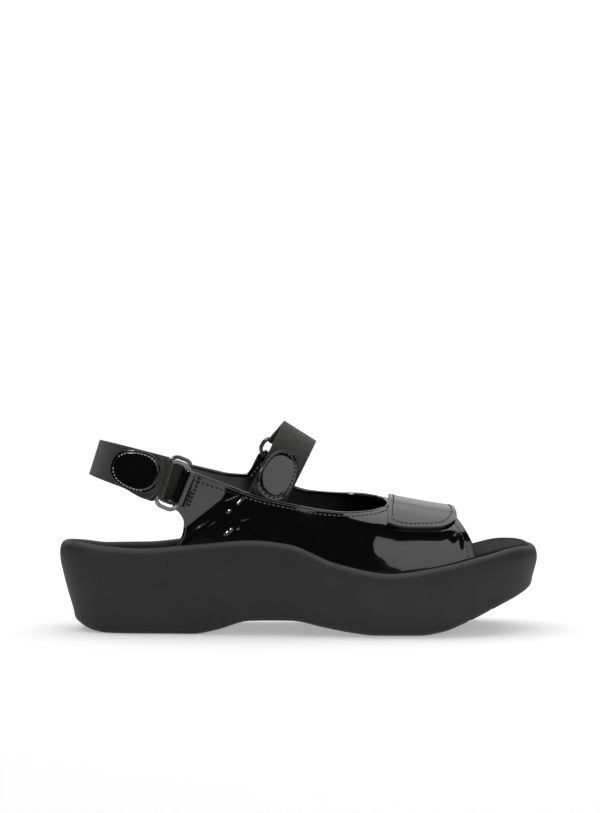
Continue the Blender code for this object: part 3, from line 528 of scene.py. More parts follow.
def noise(tree, vector, scale, detail=2.0, roughness=0.5):
    node = tree.nodes.new("ShaderNodeTexNoise")
    node.inputs["Detail"].default_value = detail
    node.inputs["Roughness"].default_value = roughness
    tree.links.new(vector, node.inputs["Vector"])
    if isinstance(scale, (int, float)):
        node.inputs["Scale"].default_value = scale
    else:
        tree.links.new(scale, node.inputs["Scale"])
    return node.outputs["Fac"]


def soft_ripple():
    """Slow waves and fine orange peel of a lacquered skin."""
    sizes = (("Wave", 70.0), ("Peel", 900.0), ("Peel Share", 0.04))
    group, given, out = shader_group("soft_ripple", sizes, ("Height",))
    vector, wave, peel, peel_share = given.outputs[:4]
    slow = noise(group, vector, wave, 2.0, 0.45)
    fine = noise(group, vector, peel, 1.0)
    group.links.new(weighted(group, (slow, 1.0), (fine, peel_share)), out.inputs["Height"])
    return group


def pebble_grain():
    """Fine moulded or napped grain, with a cloudy tone that shifts over the surface."""
    group, given, out = shader_group("pebble_grain", (("Grain", 2600.0), ("Cloud", 28.0)), ("Height", "Tone"))
    vector, grain, cloud_size = given.outputs[:3]
    cells = group.nodes.new("ShaderNodeTexVoronoi")
    group.links.new(vector, cells.inputs["Vector"])
    group.links.new(grain, cells.inputs["Scale"])
    speck = noise(group, vector, grain)
    group.links.new(math_node(group, "ADD", cells.outputs["Distance"], speck), out.inputs["Height"])
    cloud = noise(group, vector, cloud_size, 4.0, 0.6)
    group.links.new(weighted(group, (cloud, 0.75), (speck, 0.25)), out.inputs["Tone"])
    return group


def ribbed_weave():
    """Webbing: rows of slanted threads along the band, from its UV map in metres."""
    group, given, out = shader_group("ribbed_weave", (("Pitch", 0.0011), ("Slant", 0.55)), ("Height", "Tone"))
    vector, pitch, slant = given.outputs[:3]
    parts = group.nodes.new("ShaderNodeSeparateXYZ")
    group.links.new(vector, parts.inputs[0])
    turns = math_node(group, "DIVIDE", 2 * math.pi, pitch)
    slanted = weighted(group, (parts.outputs["X"], 1.0), (parts.outputs["Y"], slant))
    crossing = math_node(group, "MULTIPLY", parts.outputs["Y"], 1.6)
    rib, thread = (math_node(group, "SINE", math_node(group, "MULTIPLY", way, turns)) for way in (slanted, crossing))
    woven = weighted(group, (rib, 0.6), (thread, 0.4))
    height = weighted(group, (woven, 1.0), (noise(group, vector, 3200.0), 0.9))
    group.links.new(height, out.inputs["Height"])
    cloud = noise(group, vector, 160.0, 3.0)
    group.links.new(weighted(group, (height, 0.22), (cloud, 0.7)), out.inputs["Tone"])
    return group


GROUPS = {"ripple": soft_ripple(), "grain": pebble_grain(), "weave": ribbed_weave()}


def finish_material(name, colour, roughness, **sockets):
    material = bpy.data.materials.new(name)
    material.use_nodes = True
    shader = material.node_tree.nodes["Principled BSDF"]
    shader.inputs["Base Color"].default_value = (*colour, 1.0)
    shader.inputs["Roughness"].default_value = roughness
    for label, value in sockets.items():
        shader.inputs[label.replace("_", " ")].default_value = value
    return material, material.node_tree, shader


def use_group(tree, kind, coordinate, **values):
    node = tree.nodes.new("ShaderNodeGroup")
    node.node_tree = GROUPS[kind]
    source = tree.nodes.new("ShaderNodeTexCoord")
    tree.links.new(source.outputs[coordinate], node.inputs["Vector"])
    for label, value in values.items():
        node.inputs[label.replace("_", " ")].default_value = value
    return node


def bump(tree, shader, height, strength, distance):
    node = tree.nodes.new("ShaderNodeBump")
    node.inputs["Strength"].default_value = strength
    node.inputs["Distance"].default_value = distance
    tree.links.new(height, node.inputs["Height"])
    tree.links.new(node.outputs["Normal"], shader.inputs["Normal"])


def tone_ramp(tree, shader, tone, dark, light, low=0.3, high=0.7, socket="Base Color"):
    """Colour or value that runs from dark to light with the tone."""
    ramp = tree.nodes.new("ShaderNodeValToRGB")
    ramp.color_ramp.elements[0].position = low
    ramp.color_ramp.elements[1].position = high
    ramp.color_ramp.elements[0].color = (*dark, 1.0)
    ramp.color_ramp.elements[1].color = (*light, 1.0)
    tree.links.new(tone, ramp.inputs["Fac"])
    tree.links.new(ramp.outputs["Color"], shader.inputs[socket])


def grained(name, colour, roughness, relief, ramp, kind="grain", coordinate="Object", sizes=None, **sockets):
    """A finish with its relief (strength, distance) and its ramp of colour taken from one of the groups."""
    material, tree, shader = finish_material(name, colour, roughness, **sockets)
    texture = use_group(tree, kind, coordinate, **(sizes or {}))
    if relief:
        bump(tree, shader, texture.outputs["Height"], *relief)
    if ramp:
        tone_ramp(tree, shader, texture.outputs["Tone"], *ramp)
    return material, tree, shader, texture


def surface_value(tree, attribute):
    """A point attribute of the piece's own mesh."""
    node = tree.nodes.new("ShaderNodeAttribute")
    node.attribute_name = attribute
    return node


def sole_finish():
    """Moulded foam, paler along the rim's edge: a painted highlight where light from above falls on the rim's top."""
    foam, tree, shader, grain = grained(
        "sole_foam", (0.022,) * 3, 0.6, (0.22, 0.0002), None, Specular_IOR_Level=0.25
    )
    # Painted highlight: the rim attribute lifts the foam's colour along the rim's top, where light from above falls.
    tone = weighted(tree, (grain.outputs["Tone"], 0.3), (surface_value(tree, "rim").outputs["Fac"], 0.7))
    tone_ramp(tree, shader, tone, (0.0172, 0.0172, 0.0175), (0.09, 0.09, 0.0908), 0.08, 0.9)
    return foam


def lining_finish():
    """Dark lining with painted light: paler behind the instep, towards the rear collar, where light reaches it, and
    dark further forward, where the upper shades it.
    """
    lining, tree, shader, grain = grained(
        "lining", (0.012,) * 3, 0.75, (0.3, 0.0003), None,
        sizes={"Grain": 1500.0, "Cloud": 60.0}, Specular_IOR_Level=0.25,
    )
    spot = tree.nodes.new("ShaderNodeSeparateXYZ")
    tree.links.new(tree.nodes.new("ShaderNodeTexCoord").outputs["Object"], spot.inputs[0])
    # Painted light: the lining turns paler from x = -28 mm to -33 mm backwards, where light reaches the rear collar.
    painted_light_share = tree.nodes.new("ShaderNodeMapRange")
    for label, value in (("From Min", -0.028), ("From Max", -0.033), ("To Min", 0.0), ("To Max", 0.75)):
        painted_light_share.inputs[label].default_value = value
    tree.links.new(spot.outputs["X"], painted_light_share.inputs["Value"])
    tone = weighted(tree, (painted_light_share.outputs[0], 1.0), (grain.outputs["Tone"], 0.25))
    tone_ramp(tree, shader, tone, (0.008, 0.008, 0.0085), (0.15, 0.153, 0.156), 0.1, 0.9)
    return lining


def make_finishes():
    finish = {"sole": sole_finish(), "lining": lining_finish()}
    finish["patent"] = grained(
        "patent_leather", (0.0025, 0.0025, 0.0028), 0.1, (0.07, 0.001), None, "ripple",
        Coat_Weight=1.0, Coat_Roughness=0.02, Specular_IOR_Level=0.35,
    )[0]
    finish["bed"] = grained(
        "bed_cover", (0.01,) * 3, 0.85, (0.4, 0.0003), ((0.0028,) * 3, (0.0068, 0.0065, 0.0063)),
        sizes={"Grain": 1800.0, "Cloud": 45.0}, Specular_IOR_Level=0.2, Sheen_Weight=0.1,
    )[0]
    finish["webbing"] = grained(
        "webbing", (0.04, 0.039, 0.036), 0.8, (0.5, 0.0003),
        ((0.0135, 0.0132, 0.0123), (0.033, 0.0325, 0.03), 0.2, 0.75), "weave", "UV",
        Specular_IOR_Level=0.3, Sheen_Weight=0.3,
    )[0]
    # One metal in two copies: the darker one is painted shade for the rings on the far side, which lie in shade.
    for key, name, colour, smooth, rough in (
        ("ring", "ring_metal", (0.24, 0.24, 0.245), 0.3, 0.44),
        ("ring_painted_shade", "ring_metal_painted_shade", (0.16, 0.16, 0.165), 0.2, 0.36),
    ):
        wire, tree, shader, grain = grained(
            name, colour, smooth, None, None, sizes={"Grain": 1400.0, "Cloud": 180.0}, Metallic=1.0
        )
        tone_ramp(tree, shader, grain.outputs["Tone"], (smooth,) * 3, (rough,) * 3, socket="Roughness")
        finish[key] = wire
    # All the thread is black: the grey thread is partly a painted highlight where light catches the stitches, the pale
    # one is a painted glint, and the near-black one keeps the thread's own colour.
    for key, dark, light, gloss in (
        ("thread", 0.03, 0.075, 0.25), ("dark_thread", 0.003, 0.006, 0.6), ("thread_painted_glint", 0.25, 0.5, 0.3)
    ):
        finish[key] = grained(
            key, (light,) * 3, gloss, (0.2, 0.0001), ((dark,) * 3, (light,) * 3),
            sizes={"Grain": 5200.0, "Cloud": 300.0}, Specular_IOR_Level=0.9 - gloss,
        )[0]
    return finish


FINISH = make_finishes()


# Sole and footbed


def tray_floor(x, side):
    return bed_height(x) - BED_THICKNESS - GAP


def bar_mask(p):
    """1 in the middle of a tread groove, 0 on the bars between."""
    flat, edge = GROOVE_HALF
    return max(min(max((edge - abs(p - groove)) / (edge - flat), 0.0), 1.0) for groove in GROOVES)


def bow_place(turn):
    """Which of the arched lines across the sole meets the outline at turn."""
    x, y, _ = outline_at(turn)
    return x + GROOVE_BOW * (y / GROOVE_SPAN) ** 2


TOE_TURN = float(max(np.linspace(0.9, 1.1, 4001) * math.pi, key=bow_place))


def bow_turn(p, side):
    """Where the arched line at p across the sole meets the outline."""
    low, high = 0.0 if side == "lateral" else 2 * math.pi, TOE_TURN
    for _ in range(46):
        turn = (low + high) / 2
        if bow_place(turn) < p:
            low = turn
        else:
            high = turn
    return low


def sole_side(turn, mask, closed):
    """One side of a section, from the tread up the wall and over the rim into the tray."""
    taper = wall_taper(outline_at(turn)[0])
    even = 0.5 * (1 - ease(0.0, 0.4, min(turn, 2 * math.pi - turn, abs(turn - math.pi))))

    def edge(x, side):
        return tread_height(x) + edge_lift(x) * 0.7

    def rim(x, side):
        other = "medial" if side == "lateral" else "lateral"
        return mix(rim_height[side](x), rim_height[other](x), even)

    def wall(x, side, share):
        return mix(edge(x, side) + LOWER_EDGE["wall_from"], rim(x, side) - LOWER_EDGE["wall_to"], share)

    flat, low, high = (taper + inset for inset in LOWER_EDGE["insets"])
    controls = [(flat, lambda x, s: tread_height(x)), (low, edge), (high, lambda x, s: edge(x, s) + LOWER_EDGE["lift"])]
    for share in (0.0, 0.33, 0.66, 1.0):
        controls.append((taper * (1 - share) ** 1.3, lambda x, s, share=share: wall(x, s, share)))
    x, _, side = outline_at(turn)
    slim = 1 - 0.75 * side_swell(x, 0.0) / RIM_WALL if side == "lateral" else 1.0
    for inset, drop in RIM_PROFILE:
        controls.append((inset * slim, lambda x, s, drop=drop: rim(x, s) - drop))
    controls.append((RIM_WALL * slim, tray_floor))
    points = [inset_point(turn, inset, height) for inset, height in controls]
    line = through(points, SOLE_SPANS)
    for k in range(9):
        x, y, z = line[k]
        depth = GROOVE_DEPTH * mask * (1 - closed * ease(0, 5, k))
        line[k] = np.array((x, y, max(z, tread_height(x) + depth)))
    return line


def sole_section(p):
    """A closed section along the arched line at p. Grooves run out at the toe only."""
    mask, closed = bar_mask(p), 0.0 if p > OPEN_GROOVES_FROM else 1.0
    lateral = sole_side(bow_turn(p, "lateral"), mask, closed)
    medial = sole_side(bow_turn(p, "medial"), mask, closed)
    if np.allclose(lateral, medial, atol=0.1):
        medial = lateral
    bottom, tray = [], []
    bow = GROOVE_BOW / GROOVE_SPAN**2
    start, end = lateral[0], medial[0]
    for share in np.linspace(0, 1, 31)[1:-1]:
        y = mix(start[1], end[1], share)
        x = mix(start[0] + bow * start[1] ** 2, end[0] + bow * end[1] ** 2, share) - bow * y**2
        bottom.append((x, y, tread_height(x) + GROOVE_DEPTH * mask))
    for share in np.linspace(0, 1, 9)[1:-1]:
        x, y, _ = mix(medial[-1], lateral[-1], share)
        tray.append((x, y, tray_floor(x, "")))
    loop = lateral[::-1] + bottom + medial + tray
    return loop + loop[:1]


def sole_stations():
    half = SOLE_LENGTH / 2
    tip = bow_place(TOE_TURN)
    even = [-half + (half + tip) * (1 - math.cos(math.pi * i / 150)) / 2 for i in range(151)]
    edges = [groove + side * reach for groove in GROOVES for side in (-1, 1) for reach in GROOVE_HALF]
    kept = [p for p in even if min(abs(p - edge) for edge in edges) > 0.6]
    return sorted(kept + edges)


def build_sole():
    sections = [sole_section(p) for p in sole_stations()]
    mesh = lofted_mesh("sole_unit", sections)
    # rim: 1 along the rim's top edge, the mask of the sole's painted highlight.
    rim = mesh.attributes.new("rim", "FLOAT", "POINT")
    for vert in mesh.vertices:
        x, y, z = vert.co / MM
        rim.data[vert.index].value = ease(-3.4, -0.4, z - rim_height["lateral" if y < 0 else "medial"](x))
    add_piece("sole_unit", mesh, "sole_foam", FINISH["sole"], node="sole", smooth=50)


def bed_inset(x):
    beside_upper, at_ends = RIM_WALL + LEATHER + 4 * GAP, RIM_WALL + 0.5 * GAP
    inside = min(x - (REAR_EDGE[-1][1] - 6.0), FRONT_CORNER_X + 6.0 - x)
    return mix(at_ends, beside_upper, min(max(inside / 10.0 + 1.0, 0.0), 1.0))


def bed_side(turn):
    room = bed_inset(outline_at(turn)[0])

    def bottom(x, side):
        return tray_floor(x, side) + GAP

    controls = [(room + 0.6, bottom), (room, lambda x, s: bottom(x, s) + 0.8)]
    for inset, lift, cup in BED_PROFILE:
        controls.append((room + inset, lambda x, s, lift=lift, cup=cup: bed_height(x) + lift + cup * bed_cup(x)))
    return through([inset_point(turn, inset, height) for inset, height in controls], BED_SPANS)


def bed_section(turn):
    lateral, medial = bed_side(turn), bed_side(2 * math.pi - turn)
    top, under = [], []
    for share in np.linspace(0, 1, 25)[1:-1]:
        x, y, z = mix(lateral[-1], medial[-1], share)
        top.append((x, y, mix(z, bed_height(x), 0.5)))
    for share in np.linspace(0, 1, 13)[1:-1]:
        x, y, _ = mix(medial[0], lateral[0], share)
        under.append((x, y, tray_floor(x, "") + GAP))
    loop = lateral + top + medial[::-1] + under
    return loop + loop[:1]


def build_footbed():
    turns = np.linspace(0, math.pi, 141)
    turns[-1] -= 1e-7
    sections = [bed_section(turn) for turn in turns]
    mesh = lofted_mesh("footbed_cushion", sections)
    piece = add_piece("footbed_cushion", mesh, "bed_cover", FINISH["bed"], node="footbed", smooth=50)


# Upper


def along_edge(points, shares):
    points = np.array(points, float)
    lengths = run_lengths(points)
    x_line, z_line = (smooth_line(lengths, points[:, axis]) for axis in (0, 1))
    return [(x_line(share * lengths[-1]), z_line(share * lengths[-1])) for share in shares]


def on_last(points, side):
    return [(x, turn_at(x, z, side)) for x, z in points]


def straight(start, end, count):
    return [tuple(mix(np.array(start), np.array(end), i / count)) for i in range(count + 1)]


def collar_line():
    lateral = on_last(along_edge(LATERAL_COLLAR, LATERAL_SHARES), "lateral")
    medial = on_last(along_edge(MEDIAL_COLLAR, np.linspace(0, 1, RIBS["medial"] + 1)), "medial")
    throat = []
    for i in range(1, RIBS["vamp"]):
        share = i / RIBS["vamp"]
        bulge = math.sin(math.pi * share) ** 0.5
        edge = mix(lateral[-1][0], medial[0][0], share)
        throat.append((mix(edge, THROAT_X, bulge), mix(lateral[-1][1], medial[0][1], share)))
    front_top, rear_top = MEDIAL_EAR_TOP
    rear = on_last(along_edge((rear_top, *MEDIAL_REAR_COLLAR), np.linspace(0, 1, RIBS["rear"] + 1)), "medial")
    ear_front = on_last(straight(MEDIAL_COLLAR[-1], front_top, RIBS["ear_side"]), "medial")
    ear_top = on_last(straight(front_top, rear_top, RIBS["ear_top"]), "medial")
    return lateral + throat + medial + ear_front[1:] + ear_top[1:] + rear[1:]


def feather_line():
    rear_x = REAR_EDGE[-1][1]
    lateral = [(mix(rear_x, FRONT_CORNER_X, share**0.9), 0.0) for share in LATERAL_SHARES]
    front = []
    for i in range(1, RIBS["vamp"]):
        turn = math.pi * i / RIBS["vamp"]
        climb = math.sin(turn) ** (2 / last_power(FRONT_CORNER_X))
        front.append((mix(FRONT_CORNER_X, FRONT_TOP_X, climb**FRONT_EDGE_POWER), turn))
    knots = np.cumsum((0, RIBS["medial"], RIBS["ear_side"], RIBS["ear_top"], RIBS["rear"]))
    knot_x = (FRONT_CORNER_X, *MEDIAL_FEATHER_X, rear_x)
    medial = [(float(np.interp(i, knots, knot_x)), math.pi) for i in range(knots[-1] + 1)]
    return lateral + front + medial


def rear_rib(side):
    shares, xs, zs = np.array(REAR_EDGE).T
    if side == "medial":
        xs = xs + MEDIAL_EAR_SHIFT[0] * (1 - shares)
        zs = zs + MEDIAL_EAR_SHIFT[1] * (1 - shares)
    x_line, z_line = (smooth_line(shares[1:], values[1:]) for values in (xs, zs))
    rib = []
    for j in range(RIB_STEPS + 1):
        share = j / RIB_STEPS
        if share <= shares[1]:
            x, z = np.interp(share, shares, xs), np.interp(share, shares, zs)
        else:
            x, z = x_line(share), z_line(share)
        rib.append((x, turn_at(x, z, side)))
    rib[-1] = (xs[-1], 0.0 if side == "lateral" else math.pi)
    return np.array(rib)


def upper_ribs():
    """Grid of (x, turn) over the upper: one rib from the collar down for each collar point."""
    collar, feather = np.array(collar_line()), np.array(feather_line())
    shares = np.linspace(0, 1, RIB_STEPS + 1)[:, None]
    ribs = [mix(top, bottom, shares) for top, bottom in zip(collar, feather)]
    lateral, medial = rear_rib("lateral") - ribs[0], rear_rib("medial") - ribs[-1]
    for i, share in enumerate(LATERAL_SHARES):
        ribs[i] = ribs[i] + lateral * max(1 - share / REAR_BLEND, 0.0) ** 2
    for i in range(RIBS["rear"]):
        ribs[-1 - i] = ribs[-1 - i] + medial * max(1 - i / RIBS["rear"] * 8 / 7, 0.0) ** 2
    return ribs


UPPER_RIBS = upper_ribs()


# Lateral ear: a flat facet behind one crease that runs from the collar down to the rear edge, as (x, z)
EAR_CREASE = ((-40.9, 71.7), (-59.2, 56.9))
EAR_FACET = {"y": -28.7, "lean": -0.075, "yaw": -0.018, "soft": 1.0, "return": 6.5, "end": (-41.0, -34.5)}

# Soft ridges and troughs on the lateral side: start and end (x, z), half width and height
CREASES = (
    ((-44.0, 61.4), (-53.8, 55.6), 1.0, 0.125),
    ((-30.7, 75.6), (-39.1, 71.9), 1.2, 0.3),
    ((-25.5, 63.0), (-31.0, 61.4), 1.1, 0.12),
    ((79.6, 54.0), (79.8, 47.0), 2.2, -0.4),
    ((87.4, 53.0), (87.8, 46.0), 2.0, -0.4),
    ((83.6, 53.0), (83.8, 45.0), 2.0, 0.3),
)

# Small wrinkles that catch a glint: centre (x, z), length and width, with one lean for all of them
WRINKLES = ((-31.2, 71.3, 4.6, 0.8), (-37.4, 66.0, 2.4, 0.8), (-37.5, 55.4, 5.0, 0.8), (-32.4, 57.0, 1.4, 0.6))
WRINKLE_LEAN = (-0.5, 0.51)

# Slight unevenness of the lateral side from the ball forwards
RIPPLE = {"height": 0.035, "from_x": (14, 34), "size": 9.0}


def line_place(start, end, x, z):
    """Share along a line and signed distance from it, positive to the left of its direction."""
    along, off = Vector((end[0] - start[0], end[1] - start[1])), Vector((x - start[0], z - start[1]))
    return off.dot(along) / along.length_squared, (along.x * off.y - along.y * off.x) / along.length


def ear_relief(point):
    """Offset from the last that brings the ear onto its facet, and back to the last below the crease."""
    _, away = line_place(*EAR_CREASE, point.x, point.z)
    x0, z0 = EAR_CREASE[1]
    plane = EAR_FACET["y"] + EAR_FACET["lean"] * (point.z - z0) + EAR_FACET["yaw"] * (point.x - x0)
    on_facet = point.y - plane
    below = 1 - ease(-EAR_FACET["soft"], EAR_FACET["return"], away)
    return on_facet * below * (1 - ease(*EAR_FACET["end"], point.x))


def side_depth(x, z):
    """The lateral side's y at (x, z), without wrinkles."""
    turn = turn_at(x, z, "lateral")
    return last_point(x, turn, ear_relief(last_surface(x, turn))).y


def wrinkle_slopes():
    """Relief's rise along x and z that gives each wrinkle its lean."""
    near, slopes = 0.5, []
    for x, z, _, _ in WRINKLES:
        along_x = (side_depth(x + near, z) - side_depth(x - near, z)) / (2 * near)
        along_z = (side_depth(x, z + near) - side_depth(x, z - near)) / (2 * near)
        slopes.append((along_x - WRINKLE_LEAN[0], along_z - WRINKLE_LEAN[1]))
    return slopes


WRINKLE_SLOPES = wrinkle_slopes()


def wrinkle_relief(point):
    """Short ramps that end in a sharp step, as creased lacquer shows them."""
    relief = 0.0
    for (x, z, length, width), (rise_x, rise_z) in zip(WRINKLES, WRINKLE_SLOPES):
        steep = math.hypot(rise_x, rise_z)
        up = ((point.x - x) * rise_x + (point.z - z) * rise_z) / steep + width / 2
        along = abs((point.x - x) * rise_z - (point.z - z) * rise_x) / steep
        step = 1 - ease(width, width + 0.4, up)
        relief += steep * min(max(up, 0.0), width) * step * (1 - ease(length / 2 - 0.3, length / 2 + 0.3, along))
    return relief


def upper_relief(x, turn):
    """How far the leather stands off the last: swell, the ear's facet, creases and wrinkles."""
    if turn > math.pi / 2:
        return 0.0
    point = last_surface(x, turn)
    relief = side_swell(x, point.z)
    if point.x < -10:
        relief += ear_relief(point) + wrinkle_relief(point)
    uneven = ripple_at(Vector((point.x, 0.0, point.z)) / RIPPLE["size"])
    relief += RIPPLE["height"] * ease(*RIPPLE["from_x"], x) * uneven
    for start, end, width, height in CREASES:
        share, away = line_place(start, end, point.x, point.z)
        if abs(away) < 3 * width and -0.3 < share < 1.3:
            fade = ease(-0.25, 0.15, share) * (1 - ease(0.85, 1.25, share))
            relief += height * fade * math.exp(-((away / width) ** 2))
    return relief


def upper_place(x, turn, offset=0.0):
    return last_point(x, turn, upper_relief(x, turn) + offset)


def below_collar(i, distance):
    """(x, turn) on rib i at a distance from the collar along the leather."""
    rib = UPPER_RIBS[i]
    points = np.array([tuple(last_surface(x, turn)) for x, turn in rib[:26]])
    lengths = run_lengths(points)
    return tuple(np.interp(distance, lengths, rib[:26, k]) for k in (0, 1))


def build_upper():
    ribs = UPPER_RIBS
    mesh = grid_mesh(
        "upper_leather",
        lambda i, j: upper_place(*ribs[i][j]),
        len(ribs) - 1,
        RIB_STEPS,
        inside=(15, 0, 45),
        merge=False,
    )
    thicken("upper_leather", mesh, LEATHER, 0.7, "patent_leather", FINISH["patent"], FINISH["lining"], node="upper")
    for name, places in (
        ("collar_fold", [rib[0] for rib in ribs]),
        ("toe_edge_fold", [ribs[i][-1] for i in FRONT_RIBS]),
        ("rear_edge_fold_lateral", ribs[0]),
        ("rear_edge_fold_medial", ribs[-1]),
    ):
        line = [upper_place(*place, -LEATHER / 2) for place in places]
        add_piece(name, wire_mesh(name, line, LEATHER / 2 + 0.22), "patent_leather", FINISH["patent"])


def leather_row(places, lift, pitch, length, width, place=upper_place):
    """A row of stitches at (x, turn) places. A negative lift puts it on the leather's inner face."""
    face = math.copysign(1.0, lift)
    points = [place(x, turn, lift) for x, turn in places]
    return points, [last_normal(x, turn) * face for x, turn in places], pitch, length, width


def add_stitches(name, rows, finish):
    add_piece(name, stitch_mesh(name, rows), "patent_leather", FINISH[finish])


def build_upper_stitches():
    collar = [below_collar(i, COLLAR_SEAM) for i in range(len(UPPER_RIBS))]
    rear = [place for place in collar if place[0] < EAR_SEAM_TO_X and place[1] < math.pi / 2]
    front = [(x - FRONT_SEAM, turn) for x, turn in (UPPER_RIBS[i][-1] for i in FRONT_RIBS)]
    # The collar and front stitches take the grey thread, partly a painted highlight.
    rows = [leather_row(collar[len(rear) :], *STITCH_ROWS["collar"]), leather_row(front, *STITCH_ROWS["front"])]
    add_stitches("upper_stitches", rows, "thread")
    add_stitches("ear_collar_stitches", [leather_row(rear, *STITCH_ROWS["ear_collar"])], "dark_thread")
    # The far ear's stitches take the pale thread: a painted glint on black thread.
    seams = [on_last(straight(start, end, 12), "medial") for start, end in FAR_EAR_SEAMS]
    rows = [leather_row(seam, *STITCH_ROWS["far_ear"]) for seam in seams]
    add_stitches("far_ear_stitches", rows, "thread_painted_glint")


def flap_ribs(along_count, around_count, inset=0.0):
    """(x, turn) over the forefoot strap, from its free lateral end to the rim on the medial side."""
    ribs = []
    for i in range(along_count + 1):
        along = i / along_count
        x = mix(FLAP["back"] + inset, FLAP["front"] - inset, along)
        corner = abs(2 * along - 1) ** FLAP["power"]
        lift = FLAP_CORNER_LIFT["back" if along < 0.5 else "front"]
        start = turn_at(x, FLAP["end_z"] + inset * 0.75 + lift * corner, "lateral")
        end = turn_at(x, rim_height["medial"](x) + 3 * GAP, "medial")
        lean = FLAP["lean"] * (1 - along)
        shares = [j / around_count for j in range(around_count + 1)]
        ribs.append([(x + lean * (1 - share) ** 2, mix(start, end, share)) for share in shares])
    return ribs


def flap_place(x, turn, offset):
    swell = side_swell(x, last_surface(x, turn).z) if turn < math.pi / 2 else 0.0
    arch = FLAP_ARCH["height"] * ease(*FLAP_ARCH["rise"], turn) * (1 - ease(*FLAP_ARCH["fall"], turn))
    return last_point(x, turn, swell + arch + offset)


def build_flap():
    across, around = 48, 120
    ribs = flap_ribs(across, around)
    mesh = grid_mesh(
        "vamp_flap", lambda i, j: flap_place(*ribs[i][j], GAP), across, around, inside=(65, 0, 45), merge=False
    )
    thicken(
        "vamp_flap", mesh, FLAP["thick"], 0.95, "patent_leather", FINISH["patent"], node="vamp_strap", outwards=True
    )
    inner = flap_ribs(60, around, FLAP_SEAM)
    sides = [rib[: int(around * 0.9)] for rib in (inner[0], inner[-1])]
    rows = [leather_row(row, *STITCH_ROWS["flap"], flap_place) for row in ([rib[0] for rib in inner], *sides)]
    add_stitches("flap_stitches", rows, "dark_thread")


# Bands, rings and loops


class BandPlane:
    """A tilted frame for a band: e runs along the foot, y across it and w along the band's width."""

    def __init__(self, origin, along, width, across=(0.0, 1.0, 0.0)):
        self.origin = Vector((origin[0], 0.0, origin[1]))
        self.along = Vector((along[0], 0.0, along[1]))
        self.width = Vector((width[0], 0.0, width[1]))
        self.across = Vector(across)

    def point(self, e, y, w=0.0):
        return self.origin + self.along * e + self.across * y + self.width * w


def make_planes():
    drop, roll, yaw = (math.radians(HEEL[key]) for key in ("drop", "roll", "yaw"))
    across = (-math.sin(yaw), 1.0, math.sin(roll))
    heel = BandPlane(
        HEEL["bar"], (math.cos(drop), -math.sin(drop)), (math.sin(drop), math.cos(drop)), across
    )
    drop = math.radians(INSTEP["drop"])
    instep = BandPlane(INSTEP["top"], (math.sin(drop), math.cos(drop)), (math.cos(drop), -math.sin(drop)))
    return heel, instep


HEEL_PLANE, INSTEP_PLANE = make_planes()


def heel_path(share):
    """Middle of the heel band from the lateral to the medial bar, as (e, y, w)."""
    power, straight_run = 2 / HEEL["power"], HEEL["straight"]
    lead = straight_run / (HEEL["reach"] * 2)
    lateral, medial = HEEL_BAR_Y["lateral"], HEEL_BAR_Y["medial"]
    if share < lead:
        return (-straight_run * share / lead, lateral, 0.0)
    if share > 1 - lead:
        return (-straight_run * (1 - share) / lead, medial, 0.0)
    turn = math.pi * (share - lead) / (1 - 2 * lead)
    across = math.copysign(abs(math.cos(turn)) ** power, math.cos(turn))
    e = -straight_run - (HEEL["reach"] - straight_run) * math.sin(turn) ** power
    return (e, mix(medial, lateral, (across + 1) / 2), 0.0)


def heel_width(e):
    return mix(*HEEL_WIDTH, min(-e / HEEL["reach"], 1.0))


def instep_path(drop, side):
    inside = min(drop / INSTEP["rise"], 1.0)
    reach = INSTEP["half"] * math.sqrt(1 - (1 - inside) ** 2) + max(drop - INSTEP["rise"], 0.0) * INSTEP["splay"]
    return (-drop, INSTEP["y"] + (-reach if side == "lateral" else reach), drop * INSTEP_LEAN[side])


class Band:
    """A strap's middle line by length run along it, with its outward direction."""

    def __init__(self, plane, path):
        self.plane = plane
        self.points = np.array(path)
        self.runs = run_lengths(self.points)
        self.length = self.runs[-1]
        self.middle = self.points[:, :2].mean(axis=0)

    def at(self, run):
        return np.array([np.interp(run, self.runs, self.points[:, k]) for k in range(3)])

    def outward(self, run):
        low, high = max(run - 0.6, 0.0), min(run + 0.6, self.length)
        de, dy, _ = self.at(high) - self.at(low)
        normal = np.array((-dy, de)) / max(math.hypot(de, dy), 1e-9)
        e, y, _ = self.at(run)
        return normal if normal @ (np.array((e, y)) - self.middle) > 0 else -normal

    def place(self, run, across, lift):
        """A point at a run along the band, across its width and lifted outwards."""
        e, y, w = self.at(run)
        normal = self.outward(run)
        return self.plane.point(e + normal[0] * lift, y + normal[1] * lift, w + across)

    def direction(self, run):
        normal = self.outward(run)
        return (self.plane.along * normal[0] + self.plane.across * normal[1]).normalized()


def make_bands():
    heel = Band(HEEL_PLANE, [heel_path(share) for share in np.linspace(0, 1, 361)])
    drops = list(np.linspace(1, 0, 260) ** 1.6 * INSTEP_TUCK)
    path = [instep_path(drop, "lateral") for drop in drops]
    path += [instep_path(drop, "medial") for drop in np.linspace(0, 1, 80)[1:] ** 1.6 * INSTEP_BARS[0]]
    instep = Band(INSTEP_PLANE, path)
    return heel, instep


HEEL_BAND, INSTEP_BAND = make_bands()


def run_at_drop(drop):
    """Length along the instep band at a drop below its top on the lateral side."""
    lateral = INSTEP_BAND.points[:260]
    return float(np.interp(-drop, lateral[:, 0], INSTEP_BAND.runs[:260]))


